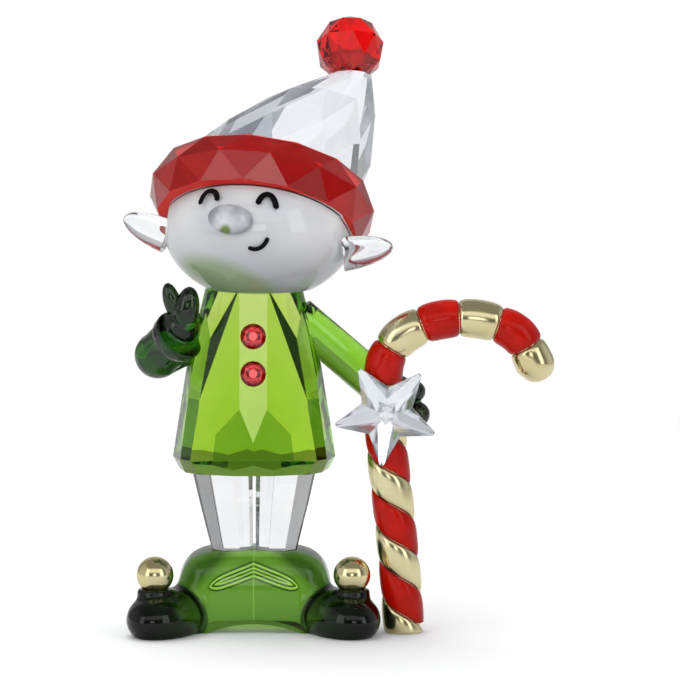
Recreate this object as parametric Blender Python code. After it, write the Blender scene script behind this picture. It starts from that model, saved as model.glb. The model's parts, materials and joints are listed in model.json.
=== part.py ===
"""Crystal elf figurine holding a candy cane.

Sizes are in millimetres and are turned into metres as each mesh is written.
+X is the viewer's right, the elf looks along -Y, and +Z is up.
Left and right in the names are the elf's own. The origin is on the ground, between the shoes.
"""

import math

import bmesh
import bpy
from mathutils import Matrix, Vector

MM = 0.001
GLUE = 0.1
ENAMEL_CLEARANCE = 0.06
OVERSHOOT = 4.0
BLANK = 60.0

# Shoes: a hill that carries the legs, and two round toes
SHOE_HEIGHT = 9.8
HILL_HALF_WIDTH = 9.4
HILL_HALF_DEPTH = 6.2
HILL_SQUARENESS = 0.46
HILL_BULGE = 1.04
TOE_X = 10.9
TOE_Y = -5.7
TOE_Z = 2.1
TOE_HALF_WIDTH = 4.5
TOE_HALF_LENGTH = 6.9
TOE_HALF_HEIGHT = 3.6
TOE_TURN = 28.0
ARCH_HEIGHT = 1.2
ARCH_RADIUS = 15.0
ARCH_DEPTH = 9.0
ARCH_START = -2.0
NECK_RADIUS = 1.5
NECK_FLARE = 1.7
BELL_RADIUS = 2.32
BELL_X = 12.5
BELL_Y = -7.0
BELL_Z = 7.95
BELL_SINK = 0.2

# Legs: faceted blocks that lean towards each other at the ankles
LEG_HEIGHT = 10.3
LEG_TOP_WIDTH = 7.95
LEG_KNEE_WIDTH = 7.1
LEG_FOOT_WIDTH = 5.45
LEG_DEPTH_RATIO = 1.01
LEG_SPLIT = 0.25
LEG_SIDES = 8
LEG_KNEE_SHARE = 0.62

# Coat
COAT_HEIGHT = 22.7
COAT_HALF_WIDTH = 10.1
COAT_HALF_DEPTH = 8.0
NECK_HALF_WIDTH = 6.1
NECK_HALF_DEPTH = 4.6
HEM_HEIGHT = 1.5
HEM_LEAN = -27.0
STRIP_HALF_WIDTH = 1.76
STRIP_LEAN = 9.5

# Buttons
BUTTON_RADIUS = 1.62
BUTTON_HEIGHT = 1.1
BUTTON_UPPER_Z = 37.4
BUTTON_LOWER_Z = 32.8

# Head: a flattened ball, cut flat for the hat, the coat and the ears
HEAD_HALF_WIDTH = 12.1
HEAD_HALF_DEPTH = 11.8
HEAD_HALF_HEIGHT = 9.25
HEAD_X = 0.8
HEAD_RISE = 7.7
HEAD_TURN = 13.0
HEAD_ROLL = 5.8
EAR_SEAT = 11.4
EAR_SEAT_FORWARD = 10.0
EAR_RIGHT_DROP = 2.5
EAR_LEFT_DROP = 2.0
EAR_LENGTH = 6.5
EAR_HALF_HEIGHT = 2.15
EAR_HALF_THICKNESS = 1.25
EAR_RISE = 14.0
EAR_RIGHT_SWEEP = 20.0
EAR_LEFT_SWEEP = 32.0

# Face: places are across and up on the face, seen from the front. Each line is a Bezier curve by
# its start, its two handles and its end
NOSE_HALF_WIDTH = 2.85
NOSE_HALF_HEIGHT = 1.87
NOSE_HALF_DEPTH = 1.7
NOSE_PLACE = (-3.39, 1.98)
NOSE_ROLL = 8.0
LINE_THICKNESS = 0.1
LINE_STEPS = 12
EYE_LINE_WIDTH = 0.58
MOUTH_LINE_WIDTH = 0.44
EYE_LINE_RIGHT = ((-7.24, 3.5), (-6.7, 5.75), (-4.9, 5.52), (-5.12, 4.05))
EYE_LINE_LEFT = ((-0.13, 3.77), (0.4, 5.45), (2.0, 5.35), (2.18, 3.2))
MOUTH_LINE = ((-1.28, -1.36), (-0.4, -1.9), (0.75, -1.5), (1.13, -0.15))

# Hat: brim slab, leaning cone and pompon, along an axis that tips back and to the elf's left
HAT_LEAN = 8.0
HAT_BACK = 34.5
HAT_SEAT = -0.1
BRIM_HEIGHT = 6.2
BRIM_FOOT_RADIUS = 12.8
BRIM_GIRDLE_RADIUS = 14.4
BRIM_GIRDLE_HEIGHT = 3.4
BRIM_TOP_RADIUS = 13.3
BRIM_DEPTH_RATIO = 0.92
BRIM_OFFSET = -0.3
BRIM_SIDES = 14
CONE_FOOT_RADIUS = 11.9
CONE_HEIGHT = 15.6
CONE_TIP_RADIUS = 2.8
CONE_TIP_X = 8.4
CONE_TIP_Y = -3.0
CONE_TIP_PITCH = 9.3
CONE_TIP_ROLL = -8.8
CONE_SIDES = 10
CONE_LEVELS = (0.3, 0.65)
CONE_BULGE = 1.3
POMPON_RADIUS = 4.35
POMPON_SEAT = 3.75

# Raised right arm: a sleeve bent at the elbow, its cuff, palm, mitten and thumb
SLEEVE_SHOULDER = Vector((-5.0, 0.6, 37.6))
SLEEVE_ELBOW = Vector((-12.0, -1.6, 34.6))
SLEEVE_CUFF = Vector((-9.3, -4.2, 37.4))
SHOULDER_RADIUS = 2.6
ELBOW_RADIUS = 2.9
CUFF_RADIUS = 3.0
PALM_PLACE = Vector((-9.1, -4.4, 38.4))
PALM_RADIUS = 2.55
MITTEN_PLACE = Vector((-8.15, -4.9, 41.1))
MITTEN_SIZE = (1.55, 1.5, 2.95)
MITTEN_ROLL = 9.0
THUMB_PLACE = Vector((-10.1, -4.3, 41.6))
THUMB_SIZE = (1.1, 1.1, 2.5)
THUMB_ROLL = -16.0

# Left arm: a straight sleeve, and a hand that closes round the back of the cane
ARM_SHOULDER = Vector((5.4, 0.0, 39.4))
ARM_WRIST = Vector((15.4, 1.6, 30.6))
ARM_RADIUS = 2.5
HAND_PLACE = Vector((17.6, 0.5, 28.9))
HAND_SIZE = (3.4, 1.9, 3.0)
HAND_ROLL = 40.0
FINGER_PLACES = (Vector((20.2, -1.6, 30.0)), Vector((20.5, -1.6, 27.1)))
FINGER_RADII = (1.35, 1.6)
GRIP_CLEARANCE = 0.1

# Candy cane: the middle line is chosen in the plane CANE_Y, from the foot to the end of the hook
CANE_Y = -4.3
CANE_LINE = (
    (18.9, -1.5), (18.5, 5.2), (18.0, 10.9), (17.4, 16.7), (16.8, 21.8), (16.4, 27.0), (16.2, 31.2),
    (16.6, 34.6), (18.8, 37.5), (23.1, 39.3), (28.3, 39.4), (32.7, 37.7), (35.0, 34.1), (35.7, 31.6),
)
CANE_RADIUS = 2.62
HOOK_RADIUS = 2.45
FIELD_DEPTH = 0.5
RIM_DEPTH = 0.18
TWIST_PITCH = 9.2
TWIST_START = 0.33
GOLD_SHARE = 0.48
TWIST_END = 31.2
HOOK_FIRST = 32.9
BAND_LENGTH = 4.75
BAND_GAP = 4.85
BAND_COUNT = 3
STATION_STEP = 0.65
SPIRAL_SKIP = 4

# Star
STAR_RADIUS = 6.9
STAR_TIP_FLAT = 0.45
STAR_INNER_RADIUS = 3.3
STAR_GIRDLE = 0.9
STAR_CROWN = 1.9
STAR_TURN = -95.0
STAR_X = 16.55
STAR_Z = 28.0

COAT_FOOT = SHOE_HEIGHT + LEG_HEIGHT
COAT_TOP = COAT_FOOT + COAT_HEIGHT
HEAD_CENTRE = Vector((HEAD_X, 0.0, COAT_TOP + GLUE + HEAD_RISE))

LIME = (0.36, 0.62, 0.07)
BOTTLE_GREEN = (0.05, 0.24, 0.04)
RED_CRYSTAL = (0.62, 0.02, 0.01)
RED_ENAMEL = (0.6, 0.02, 0.0)
CLEAR = (0.86, 0.88, 0.9)
BLACK = (0.01, 0.01, 0.01)
GOLD = (0.86, 0.72, 0.42)


def make_material(name, colour, roughness=0.05, metallic=0.0):
    """Return a Principled material."""
    material = bpy.data.materials.new(name)
    material.use_nodes = True
    shader = material.node_tree.nodes["Principled BSDF"]
    shader.inputs["Base Color"].default_value = (*colour, 1.0)
    shader.inputs["Roughness"].default_value = roughness
    shader.inputs["Metallic"].default_value = metallic
    material.diffuse_color = (*colour, 1.0)
    return material


def start_scene():
    """Empty the scene, and return the collections for the parts and for the cutters."""
    for old in list(bpy.data.objects):
        bpy.data.objects.remove(old)
    groups = []
    for name in ("elf_figurine", "cutters"):
        group = bpy.data.collections.new(name)
        bpy.context.scene.collection.children.link(group)
        groups.append(group)
    return groups


PARTS, CUTTERS = start_scene()


def add_solid(name, bm, colour, roughness=0.05, metallic=0.0, smooth=None, parent=None):
    """Write a bmesh in millimetres as a part; smooth is the angle up to which it is shaded round."""
    mesh = bpy.data.meshes.new(name)
    bmesh.ops.scale(bm, vec=(MM, MM, MM), verts=bm.verts)
    bmesh.ops.recalc_face_normals(bm, faces=bm.faces)
    bm.to_mesh(mesh)
    bm.free()
    mesh.materials.append(make_material(name, colour, roughness, metallic))
    if smooth is not None:
        mesh.shade_smooth()
        mesh.set_sharp_from_angle(angle=math.radians(smooth))
    solid = bpy.data.objects.new(name, mesh)
    PARTS.objects.link(solid)
    solid.parent = parent
    return solid


def add_tool(name, bm):
    """Write a bmesh in millimetres as a hidden cutter or helper."""
    tool = add_solid(name, bm, BLACK)
    PARTS.objects.unlink(tool)
    CUTTERS.objects.link(tool)
    tool.hide_render = True
    tool.display_type = "WIRE"
    return tool


def combine(solid, tool, operation):
    """Add a Boolean modifier."""
    modifier = solid.modifiers.new(tool.name, "BOOLEAN")
    modifier.operation = operation
    modifier.solver = "EXACT"
    modifier.object = tool


def ball(size, place=(0, 0, 0), turn=None, segments=20):
    """Return an ellipsoid with the half sizes in size, turned and then moved."""
    bm = bmesh.new()
    bmesh.ops.create_uvsphere(bm, u_segments=segments, v_segments=segments // 2, radius=1.0)
    bmesh.ops.scale(bm, vec=size, verts=bm.verts)
    bmesh.ops.transform(bm, matrix=turn or Matrix(), verts=bm.verts)
    bmesh.ops.translate(bm, vec=place, verts=bm.verts)
    return bm


def cut(bm, point, normal):
    """Cut away what lies beyond a plane, and close the cut."""
    geometry = bm.verts[:] + bm.edges[:] + bm.faces[:]
    result = bmesh.ops.bisect_plane(
        bm, geom=geometry, dist=1e-5, plane_co=point, plane_no=normal, clear_outer=True
    )
    edges = [item for item in result["geom_cut"] if isinstance(item, bmesh.types.BMEdge)]
    if edges:
        bmesh.ops.contextual_create(bm, geom=edges)


def facing(azimuth, lean):
    """Return the normal of a facet: azimuth from the front to +X, lean upwards, in degrees."""
    around, up = math.radians(azimuth), math.radians(lean)
    return Vector((math.sin(around) * math.cos(up), -math.cos(around) * math.cos(up), math.sin(up)))


def hull(rings):
    """Return the faceted solid around rings of points."""
    bm = bmesh.new()
    for ring in rings:
        for point in ring:
            bm.verts.new(point)
    result = bmesh.ops.convex_hull(bm, input=bm.verts)
    loose = [item for item in result["geom_interior"] if isinstance(item, bmesh.types.BMVert)]
    bmesh.ops.delete(bm, geom=loose, context="VERTS")
    bmesh.ops.dissolve_limit(bm, angle_limit=math.radians(0.5), verts=bm.verts, edges=bm.edges)
    return bm


def ring(sides, half_width, half_depth, height, offset=0.0, centre=(0.0, 0.0)):
    """Return the points of a flat ring; offset is in steps of the ring."""
    points = []
    for index in range(sides):
        angle = 2 * math.pi * (index + offset) / sides
        x = centre[0] + half_width * math.cos(angle)
        y = centre[1] + half_depth * math.sin(angle)
        points.append(Vector((x, y, height)))
    return points


def loft(sections, closed=False):
    """Skin equal rows of points; closed joins the last row to the first, otherwise both ends are capped."""
    bm = bmesh.new()
    rows = [[bm.verts.new(point) for point in section] for section in sections]
    pairs = list(zip(rows, rows[1:]))
    if closed:
        pairs.append((rows[-1], rows[0]))
    count = len(rows[0])
    for first, second in pairs:
        for index in range(count):
            after = (index + 1) % count
            bm.faces.new((first[index], first[after], second[after], second[index]))
    if not closed:
        bm.faces.new(rows[0][::-1])
        bm.faces.new(rows[-1])
    return bm


def rod(start, end, start_radius, end_radius, sides=16):
    """Return a round tapered rod between two points."""
    bm = bmesh.new()
    along = end - start
    bmesh.ops.create_cone(
        bm, cap_ends=True, segments=sides, radius1=start_radius, radius2=end_radius, depth=along.length
    )
    turn = Vector((0, 0, 1)).rotation_difference(along).to_matrix()
    bmesh.ops.rotate(bm, matrix=turn, verts=bm.verts)
    bmesh.ops.translate(bm, vec=(start + end) / 2, verts=bm.verts)
    return bm


def build_shoes():
    """Cast green shoes in one piece, with a bell on each toe."""
    hill = bmesh.new()
    bmesh.ops.create_uvsphere(hill, u_segments=28, v_segments=14, radius=1.0)
    for vert in hill.verts:
        vert.co = Vector([math.copysign(abs(value) ** HILL_SQUARENESS, value) for value in vert.co])
    size = (HILL_HALF_WIDTH, HILL_HALF_DEPTH, SHOE_HEIGHT * HILL_BULGE)
    largest = [max(vert.co[axis] for vert in hill.verts) for axis in range(3)]
    bmesh.ops.scale(hill, vec=[want / now for want, now in zip(size, largest)], verts=hill.verts)
    cut(hill, (0, 0, SHOE_HEIGHT), (0, 0, 1))
    cut(hill, (0, 0, -OVERSHOOT), (0, 0, -1))
    shoes = add_solid("shoes", hill, BOTTLE_GREEN, smooth=40)
    neck_height = BELL_Z - BELL_RADIUS + BELL_SINK - GLUE - TOE_Z
    for side, label in ((-1, "right"), (1, "left")):
        turn = Matrix.Rotation(math.radians(side * TOE_TURN), 4, "Z")
        toe_size = (TOE_HALF_WIDTH, TOE_HALF_LENGTH, TOE_HALF_HEIGHT)
        toe = ball(toe_size, (side * TOE_X, TOE_Y, TOE_Z), turn)
        combine(shoes, add_tool("toe_" + label, toe), "UNION")
        neck = bmesh.new()
        bmesh.ops.create_cone(
            neck, cap_ends=True, segments=20, radius1=NECK_RADIUS * NECK_FLARE, radius2=NECK_RADIUS, depth=neck_height
        )
        seat = (side * BELL_X, BELL_Y, TOE_Z + neck_height / 2)
        bmesh.ops.translate(neck, vec=seat, verts=neck.verts)
        combine(shoes, add_tool("bell_neck_" + label, neck), "UNION")
        bell = ball((BELL_RADIUS,) * 3, (side * BELL_X, BELL_Y, BELL_Z))
        cut(bell, (0, 0, TOE_Z + neck_height + GLUE), (0, 0, -1))
        add_solid("bell_" + label, bell, GOLD, 0.08, 1.0, smooth=50)
    arch = bmesh.new()
    bmesh.ops.create_cone(
        arch, cap_ends=True, segments=64, radius1=ARCH_RADIUS, radius2=ARCH_RADIUS, depth=2 * ARCH_DEPTH
    )
    bmesh.ops.rotate(arch, matrix=Matrix.Rotation(math.radians(90), 3, "X"), verts=arch.verts)
    bmesh.ops.translate(arch, vec=(0, ARCH_START - ARCH_DEPTH, ARCH_HEIGHT - ARCH_RADIUS), verts=arch.verts)
    combine(shoes, add_tool("shoe_arch", arch), "DIFFERENCE")
    ground = bmesh.new()
    bmesh.ops.create_cube(ground, size=BLANK)
    bmesh.ops.translate(ground, vec=(0, 0, -BLANK / 2), verts=ground.verts)
    combine(shoes, add_tool("ground", ground), "DIFFERENCE")


def build_legs():
    """Two clear blocks with long facets."""
    low = SHOE_HEIGHT + GLUE
    high = COAT_FOOT - GLUE
    middle = low + LEG_KNEE_SHARE * (high - low)
    for side, label in ((-1, "right"), (1, "left")):
        foot_x = side * (LEG_FOOT_WIDTH / 2 + LEG_SPLIT / 2)
        top_x = side * (LEG_TOP_WIDTH / 2 + LEG_SPLIT / 2)
        middle_x = foot_x + LEG_KNEE_SHARE * (top_x - foot_x)
        levels = ((LEG_FOOT_WIDTH, foot_x, low), (LEG_KNEE_WIDTH, middle_x, middle), (LEG_TOP_WIDTH, top_x, high))
        rings = [
            ring(LEG_SIDES, width / 2, width / 2 * LEG_DEPTH_RATIO, height, 0.5, (x, 0))
            for width, x, height in levels
        ]
        leg = hull(rings)
        cut(leg, (side * LEG_SPLIT / 2, 0, 0), (-side, 0, 0))
        add_solid("leg_" + label, leg, CLEAR)


def coat_facets():
    """Return the coat's facets as azimuth, lean and a point that each passes through."""
    front = -NECK_HALF_DEPTH
    hem = COAT_FOOT + HEM_HEIGHT
    low_point = COAT_FOOT + 4.2
    low_front = front - (COAT_TOP - low_point) * math.tan(math.radians(STRIP_LEAN))
    strip_edge = Vector((STRIP_HALF_WIDTH, front, COAT_TOP))
    lapel = Vector((STRIP_HALF_WIDTH + 0.45, front - 0.03, COAT_TOP - 0.8))
    waist = Vector((NECK_HALF_WIDTH - 0.7, front + 0.37, COAT_TOP - 5.8))
    side = COAT_HALF_WIDTH
    return (
        (0.0, STRIP_LEAN, Vector((0, front, COAT_TOP))),
        (13.4, 9.2, strip_edge),
        (9.4, 5.6, Vector((0, low_front, low_point))),
        (17.4, 6.3, Vector((4.7, low_front + 0.89, low_point + 1.1))),
        (30.0, 14.0, lapel),
        (39.6, 18.3, waist),
        (48.0, 14.3, waist),
        (48.0, 9.5, Vector((side - 2.55, -5.3, hem + 5.5))),
        (76.0, 13.2, Vector((NECK_HALF_WIDTH, 0, COAT_TOP))),
        (78.0, 8.6, Vector((side, -0.6, hem))),
        (0.0, HEM_LEAN, Vector((0, -COAT_HALF_DEPTH, hem))),
        (17.4, HEM_LEAN, Vector((5.1, -7.2, hem))),
        (48.0, HEM_LEAN, Vector((side - 2.2, -6.0, hem))),
        (78.0, HEM_LEAN, Vector((side, -0.6, hem))),
    )


def build_coat():
    """Cut the coat from a block: every facet is repeated left, right, front and back."""
    coat = bmesh.new()
    bmesh.ops.create_cube(coat, size=BLANK)
    bmesh.ops.translate(coat, vec=(0, 0, COAT_TOP - BLANK / 2), verts=coat.verts)
    cut(coat, (0, 0, COAT_FOOT), (0, 0, -1))
    for azimuth, lean, point in coat_facets():
        for across in (-1, 1):
            for back in (-1, 1):
                flip = Vector((across, back, 1))
                cut(coat, point * flip, facing(azimuth, lean) * flip)
    add_solid("coat", coat, LIME)
    seat = facing(0, STRIP_LEAN)
    for label, height in (("upper", BUTTON_UPPER_Z), ("lower", BUTTON_LOWER_Z)):
        front = -NECK_HALF_DEPTH - (COAT_TOP - height) * math.tan(math.radians(STRIP_LEAN))
        place = Vector((0, front, height)) + seat * GLUE
        rings = (
            ring(16, BUTTON_RADIUS, BUTTON_RADIUS, 0),
            ring(16, BUTTON_RADIUS, BUTTON_RADIUS, BUTTON_HEIGHT * 0.2),
            ring(8, BUTTON_RADIUS * 0.72, BUTTON_RADIUS * 0.72, BUTTON_HEIGHT * 0.72, 0.25),
            ring(8, BUTTON_RADIUS * 0.34, BUTTON_RADIUS * 0.34, BUTTON_HEIGHT, 0.75),
        )
        stone = add_solid("button_" + label, hull(rings), RED_CRYSTAL)
        stone.location = place * MM
        stone.rotation_euler = (math.radians(90 - STRIP_LEAN), 0, 0)


def hat_axes():
    """Return the hat's frame: its origin on the head's flat top, its z along the hat."""
    lean, back = math.radians(HAT_LEAN), math.radians(HAT_BACK)
    axis = Vector((math.sin(lean), math.cos(lean) * math.sin(back), math.cos(lean) * math.cos(back)))
    across = Vector((0, 1, 0)).cross(axis).normalized()
    frame = Matrix((across, axis.cross(across), axis)).transposed().to_4x4()
    frame.translation = HEAD_CENTRE + axis * HAT_SEAT
    return frame


def build_hat():
    """Brim, leaning cone and pompon, parented to an empty on the head's flat top."""
    frame = hat_axes()
    root = bpy.data.objects.new("hat_frame", None)
    CUTTERS.objects.link(root)
    root.matrix_world = Matrix.Translation(frame.translation * MM) @ frame.to_3x3().to_4x4()
    middle = (BRIM_OFFSET, 0)
    levels = (
        (BRIM_FOOT_RADIUS, GLUE, 0.0),
        (BRIM_GIRDLE_RADIUS, BRIM_GIRDLE_HEIGHT, 0.5),
        (BRIM_TOP_RADIUS, BRIM_HEIGHT, 0.0),
    )
    rings = [
        ring(BRIM_SIDES, radius, radius * BRIM_DEPTH_RATIO, height, offset, middle)
        for radius, height, offset in levels
    ]
    add_solid("hat_brim", hull(rings), RED_CRYSTAL, parent=root)
    foot = BRIM_HEIGHT + GLUE
    tip = Vector((BRIM_OFFSET + CONE_TIP_X, CONE_TIP_Y, BRIM_HEIGHT + CONE_HEIGHT))
    tip_turn = Matrix.Rotation(math.radians(CONE_TIP_PITCH), 4, "X")
    tip_turn = tip_turn @ Matrix.Rotation(math.radians(CONE_TIP_ROLL), 4, "Y")
    tip_frame = Matrix.Translation(tip) @ tip_turn
    top_ring = ring(CONE_SIDES, CONE_TIP_RADIUS, CONE_TIP_RADIUS, 0, 0.5)
    rings = [ring(CONE_SIDES, CONE_FOOT_RADIUS, CONE_FOOT_RADIUS * BRIM_DEPTH_RATIO, foot, 0.5, middle)]
    for share, offset in zip(CONE_LEVELS, (0.0, 0.5)):
        radius = CONE_FOOT_RADIUS + share * (CONE_TIP_RADIUS - CONE_FOOT_RADIUS)
        radius += CONE_BULGE * math.sin(math.pi * share)
        place = (BRIM_OFFSET + CONE_TIP_X * share, CONE_TIP_Y * share)
        height = foot + CONE_HEIGHT * share
        rings.append(ring(CONE_SIDES, radius, radius * BRIM_DEPTH_RATIO, height, offset, place))
    rings.append([tip_frame @ point for point in top_ring])
    add_solid("hat_cone", hull(rings), CLEAR, parent=root)
    levels = ((-0.9, 0.44, 0.0), (-0.42, 0.92, 0.5), (0.26, 0.98, 0.0), (0.78, 0.66, 0.5), (0.98, 0.2, 0.0))
    rings = [
        ring(8, POMPON_RADIUS * radius, POMPON_RADIUS * radius, POMPON_RADIUS * height, offset)
        for height, radius, offset in levels
    ]
    pompon = hull(rings)
    cut(pompon, (0, 0, GLUE - POMPON_SEAT), (0, 0, -1))
    place = tip_frame @ Matrix.Translation((0, 0, POMPON_SEAT))
    bmesh.ops.transform(pompon, matrix=place, verts=pompon.verts)
    add_solid("hat_pompon", pompon, RED_CRYSTAL, parent=root)
    return frame


def ear_frames():
    """Return each ear's frame: origin on the head's flat, z up, x outwards."""
    frames = {}
    roll = Matrix.Rotation(math.radians(HEAD_ROLL), 4, "Y")
    for side, label, drop in ((-1, "right", EAR_RIGHT_DROP), (1, "left", EAR_LEFT_DROP)):
        outwards = -HEAD_TURN - side * EAR_SEAT_FORWARD + (180 if side < 0 else 0)
        turn = Matrix.Rotation(math.radians(outwards), 4, "Z")
        place = Matrix.Translation(HEAD_CENTRE) @ roll @ turn @ Matrix.Translation((EAR_SEAT, 0, -drop))
        frames[label] = (side, place)
    return frames


def head_ball(growth):
    """Return the head's ellipsoid, larger all round by growth."""
    size = [value + growth for value in (HEAD_HALF_WIDTH, HEAD_HALF_DEPTH, HEAD_HALF_HEIGHT)]
    return ball(size, HEAD_CENTRE, segments=36)


def build_head(hat):
    """Head bowl with its flats, and the ears on them."""
    head = head_ball(0.0)
    cut(head, hat.translation, hat.col[2].to_3d())
    cut(head, (0, 0, COAT_TOP + GLUE), (0, 0, -1))
    for label, (side, place) in ear_frames().items():
        cut(head, place.translation, place.col[0].to_3d())
        ear = ball((EAR_LENGTH, EAR_HALF_THICKNESS, EAR_HALF_HEIGHT))
        back = EAR_LEFT_SWEEP if side > 0 else -EAR_RIGHT_SWEEP
        sweep = Matrix.Rotation(math.radians(back), 4, "Z")
        lift = Matrix.Rotation(-math.radians(EAR_RISE), 4, "Y")
        bmesh.ops.transform(ear, matrix=sweep @ lift, verts=ear.verts)
        cut(ear, (GLUE, 0, 0), (-1, 0, 0))
        bmesh.ops.transform(ear, matrix=place, verts=ear.verts)
        add_solid("ear_" + label, ear, CLEAR, smooth=50)
    add_solid("head", head, CLEAR, smooth=30)


def on_face(across, up, height):
    """Return the point of the face at a place seen from the front, lifted off it, and its normal."""
    x = across / HEAD_HALF_WIDTH
    z = up / HEAD_HALF_HEIGHT
    y = -math.sqrt(1 - x * x - z * z)
    point = Vector((across, y * HEAD_HALF_DEPTH, up))
    normal = Vector((x / HEAD_HALF_WIDTH, y / HEAD_HALF_DEPTH, z / HEAD_HALF_HEIGHT)).normalized()
    return HEAD_CENTRE + point + normal * height, normal


def bezier(points, share):
    """Return the place at a share of the way along a cubic Bezier curve."""
    weights = ((1 - share) ** 3, 3 * share * (1 - share) ** 2, 3 * share * share * (1 - share), share ** 3)
    return tuple(sum(weight * point[axis] for weight, point in zip(weights, points)) for axis in (0, 1))


def build_line(name, curve, width):
    """Lay a flat enamel line on the face along a curve."""
    sections = []
    count = LINE_STEPS + 1
    places = [bezier(curve, index / LINE_STEPS) for index in range(count)]
    for index, place in enumerate(places):
        before = on_face(*places[max(index - 1, 0)], 0)[0]
        after = on_face(*places[min(index + 1, count - 1)], 0)[0]
        low, normal = on_face(*place, GLUE)
        high = low + normal * LINE_THICKNESS
        end = abs(2 * index / (count - 1) - 1)
        half = width / 2 * math.sqrt(max(1 - end ** 8, 0.1))
        sideways = (after - before).cross(normal).normalized() * half
        sections.append((low - sideways, low + sideways, high + sideways, high - sideways))
    add_solid(name, loft(sections), BLACK, 0.3)


def build_face():
    """Nose, eye lines and mouth line."""
    place, _ = on_face(*NOSE_PLACE, 0)
    roll = Matrix.Rotation(math.radians(NOSE_ROLL), 4, "Y")
    nose = ball((NOSE_HALF_WIDTH, NOSE_HALF_DEPTH, NOSE_HALF_HEIGHT), place, roll)
    nose = add_solid("nose", nose, CLEAR, smooth=50)
    combine(nose, add_tool("face_ball", head_ball(GLUE)), "DIFFERENCE")
    build_line("eye_line_right", EYE_LINE_RIGHT, EYE_LINE_WIDTH)
    build_line("eye_line_left", EYE_LINE_LEFT, EYE_LINE_WIDTH)
    build_line("mouth_line", MOUTH_LINE, MOUTH_LINE_WIDTH)


def coat_side(side):
    """Cutter that trims an arm flush with the coat: the coat's own side, larger by the glue line."""
    bm = bmesh.new()
    bmesh.ops.create_cube(bm, size=BLANK)
    bmesh.ops.translate(bm, vec=(0, 0, COAT_TOP + OVERSHOOT - BLANK / 2), verts=bm.verts)
    for azimuth, lean, point in coat_facets():
        for back in (-1, 1):
            flip = Vector((side, back, 1))
            normal = facing(azimuth, lean) * flip
            cut(bm, point * flip + normal * GLUE, normal)
    return bm


def build_arms():
    """Raised right arm, and left arm with its hand behind the cane."""
    arm = rod(SLEEVE_SHOULDER, SLEEVE_ELBOW, SHOULDER_RADIUS, ELBOW_RADIUS)
    arm = add_solid("arm_right", arm, BOTTLE_GREEN, smooth=40)
    forearm = rod(SLEEVE_ELBOW, SLEEVE_CUFF, ELBOW_RADIUS * 0.98, CUFF_RADIUS)
    combine(arm, add_tool("forearm", forearm), "UNION")
    pieces = (
        ("elbow", (ELBOW_RADIUS * 1.02,) * 3, SLEEVE_ELBOW, 7.0),
        ("palm", (PALM_RADIUS,) * 3, PALM_PLACE, 0.0),
        ("mitten", MITTEN_SIZE, MITTEN_PLACE, MITTEN_ROLL),
        ("thumb", THUMB_SIZE, THUMB_PLACE, THUMB_ROLL),
    )
    for label, size, place, roll in pieces:
        turn = Matrix.Rotation(math.radians(roll), 4, "Y")
        combine(arm, add_tool(label, ball(size, place, turn, 16)), "UNION")
    combine(arm, add_tool("coat_side_right", coat_side(-1)), "DIFFERENCE")
    arm = add_solid("arm_left", rod(ARM_SHOULDER, ARM_WRIST, ARM_RADIUS, ARM_RADIUS), BOTTLE_GREEN, smooth=40)
    turn = Matrix.Rotation(math.radians(HAND_ROLL), 4, "Y")
    combine(arm, add_tool("hand", ball(HAND_SIZE, HAND_PLACE, turn, 16)), "UNION")
    for index, (place, radius) in enumerate(zip(FINGER_PLACES, FINGER_RADII)):
        combine(arm, add_tool(f"finger_{index}", ball((radius,) * 3, place, None, 14)), "UNION")
    combine(arm, add_tool("coat_side_left", coat_side(1)), "DIFFERENCE")
    grip = loft([cane_ring(station, CANE_RADIUS + GRIP_CLEARANCE) for station in cane_stations(0, CANE_LENGTH)])
    combine(arm, add_tool("cane_grip", grip), "DIFFERENCE")


def smooth_line():
    """Return the cane's middle line as close points, by a Catmull-Rom curve through its knots."""
    knots = [Vector((x, CANE_Y, z)) for x, z in CANE_LINE]
    knots = [knots[0] * 2 - knots[1]] + knots + [knots[-1] * 2 - knots[-2]]
    points = []
    for a, b, c, d in zip(knots, knots[1:], knots[2:], knots[3:]):
        for index in range(16):
            t = index / 16
            points.append(
                0.5 * (2 * b + (c - a) * t + (2 * a - 5 * b + 4 * c - d) * t ** 2 + (3 * b - a - 3 * c + d) * t ** 3)
            )
    return points + [knots[-2]]


MIDDLE_LINE = smooth_line()
CANE_LENGTH = sum((b - a).length for a, b in zip(MIDDLE_LINE, MIDDLE_LINE[1:]))


def cane_frame(station):
    """Return the point on the middle line at a length from its start, and its inward and back directions."""
    left = min(max(station, 0.0), CANE_LENGTH - 1e-6)
    for a, b in zip(MIDDLE_LINE, MIDDLE_LINE[1:]):
        step = (b - a).length
        if left <= step:
            along = (b - a).normalized()
            return a + along * left, along.cross(Vector((0, 1, 0))), Vector((0, 1, 0))
        left -= step
    return b, along.cross(Vector((0, 1, 0))), Vector((0, 1, 0))


def cane_point(station, angle, radius):
    """Return a point on the cane; the angle is in turns from the side inside the hook, by the back."""
    middle, inwards, back = cane_frame(station)
    turn = 2 * math.pi * angle
    return middle + (inwards * math.cos(turn) + back * math.sin(turn)) * radius


def cane_ring(station, radius, sides=18):
    """Return a round section of the cane."""
    return [cane_point(station, index / sides, radius) for index in range(sides)]


def cane_stations(start, end):
    """Return evenly spaced lengths from start to end."""
    count = max(2, round((end - start) / STATION_STEP))
    return [start + (end - start) * index / count for index in range(count + 1)]


def bulge(share, edge, crown):
    """Return the radius of a rounded band: edge at its sides and crown in its middle."""
    return edge + (crown - edge) * math.sqrt(max(0.0, 1 - (2 * share - 1) ** 2))


def twist(station, phase):
    """Return the angle, in turns, of a phase of the left-handed twist."""
    return TWIST_START + phase + station / TWIST_PITCH


GOLD_STEPS = 6
FIELD_STEPS = 6


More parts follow.
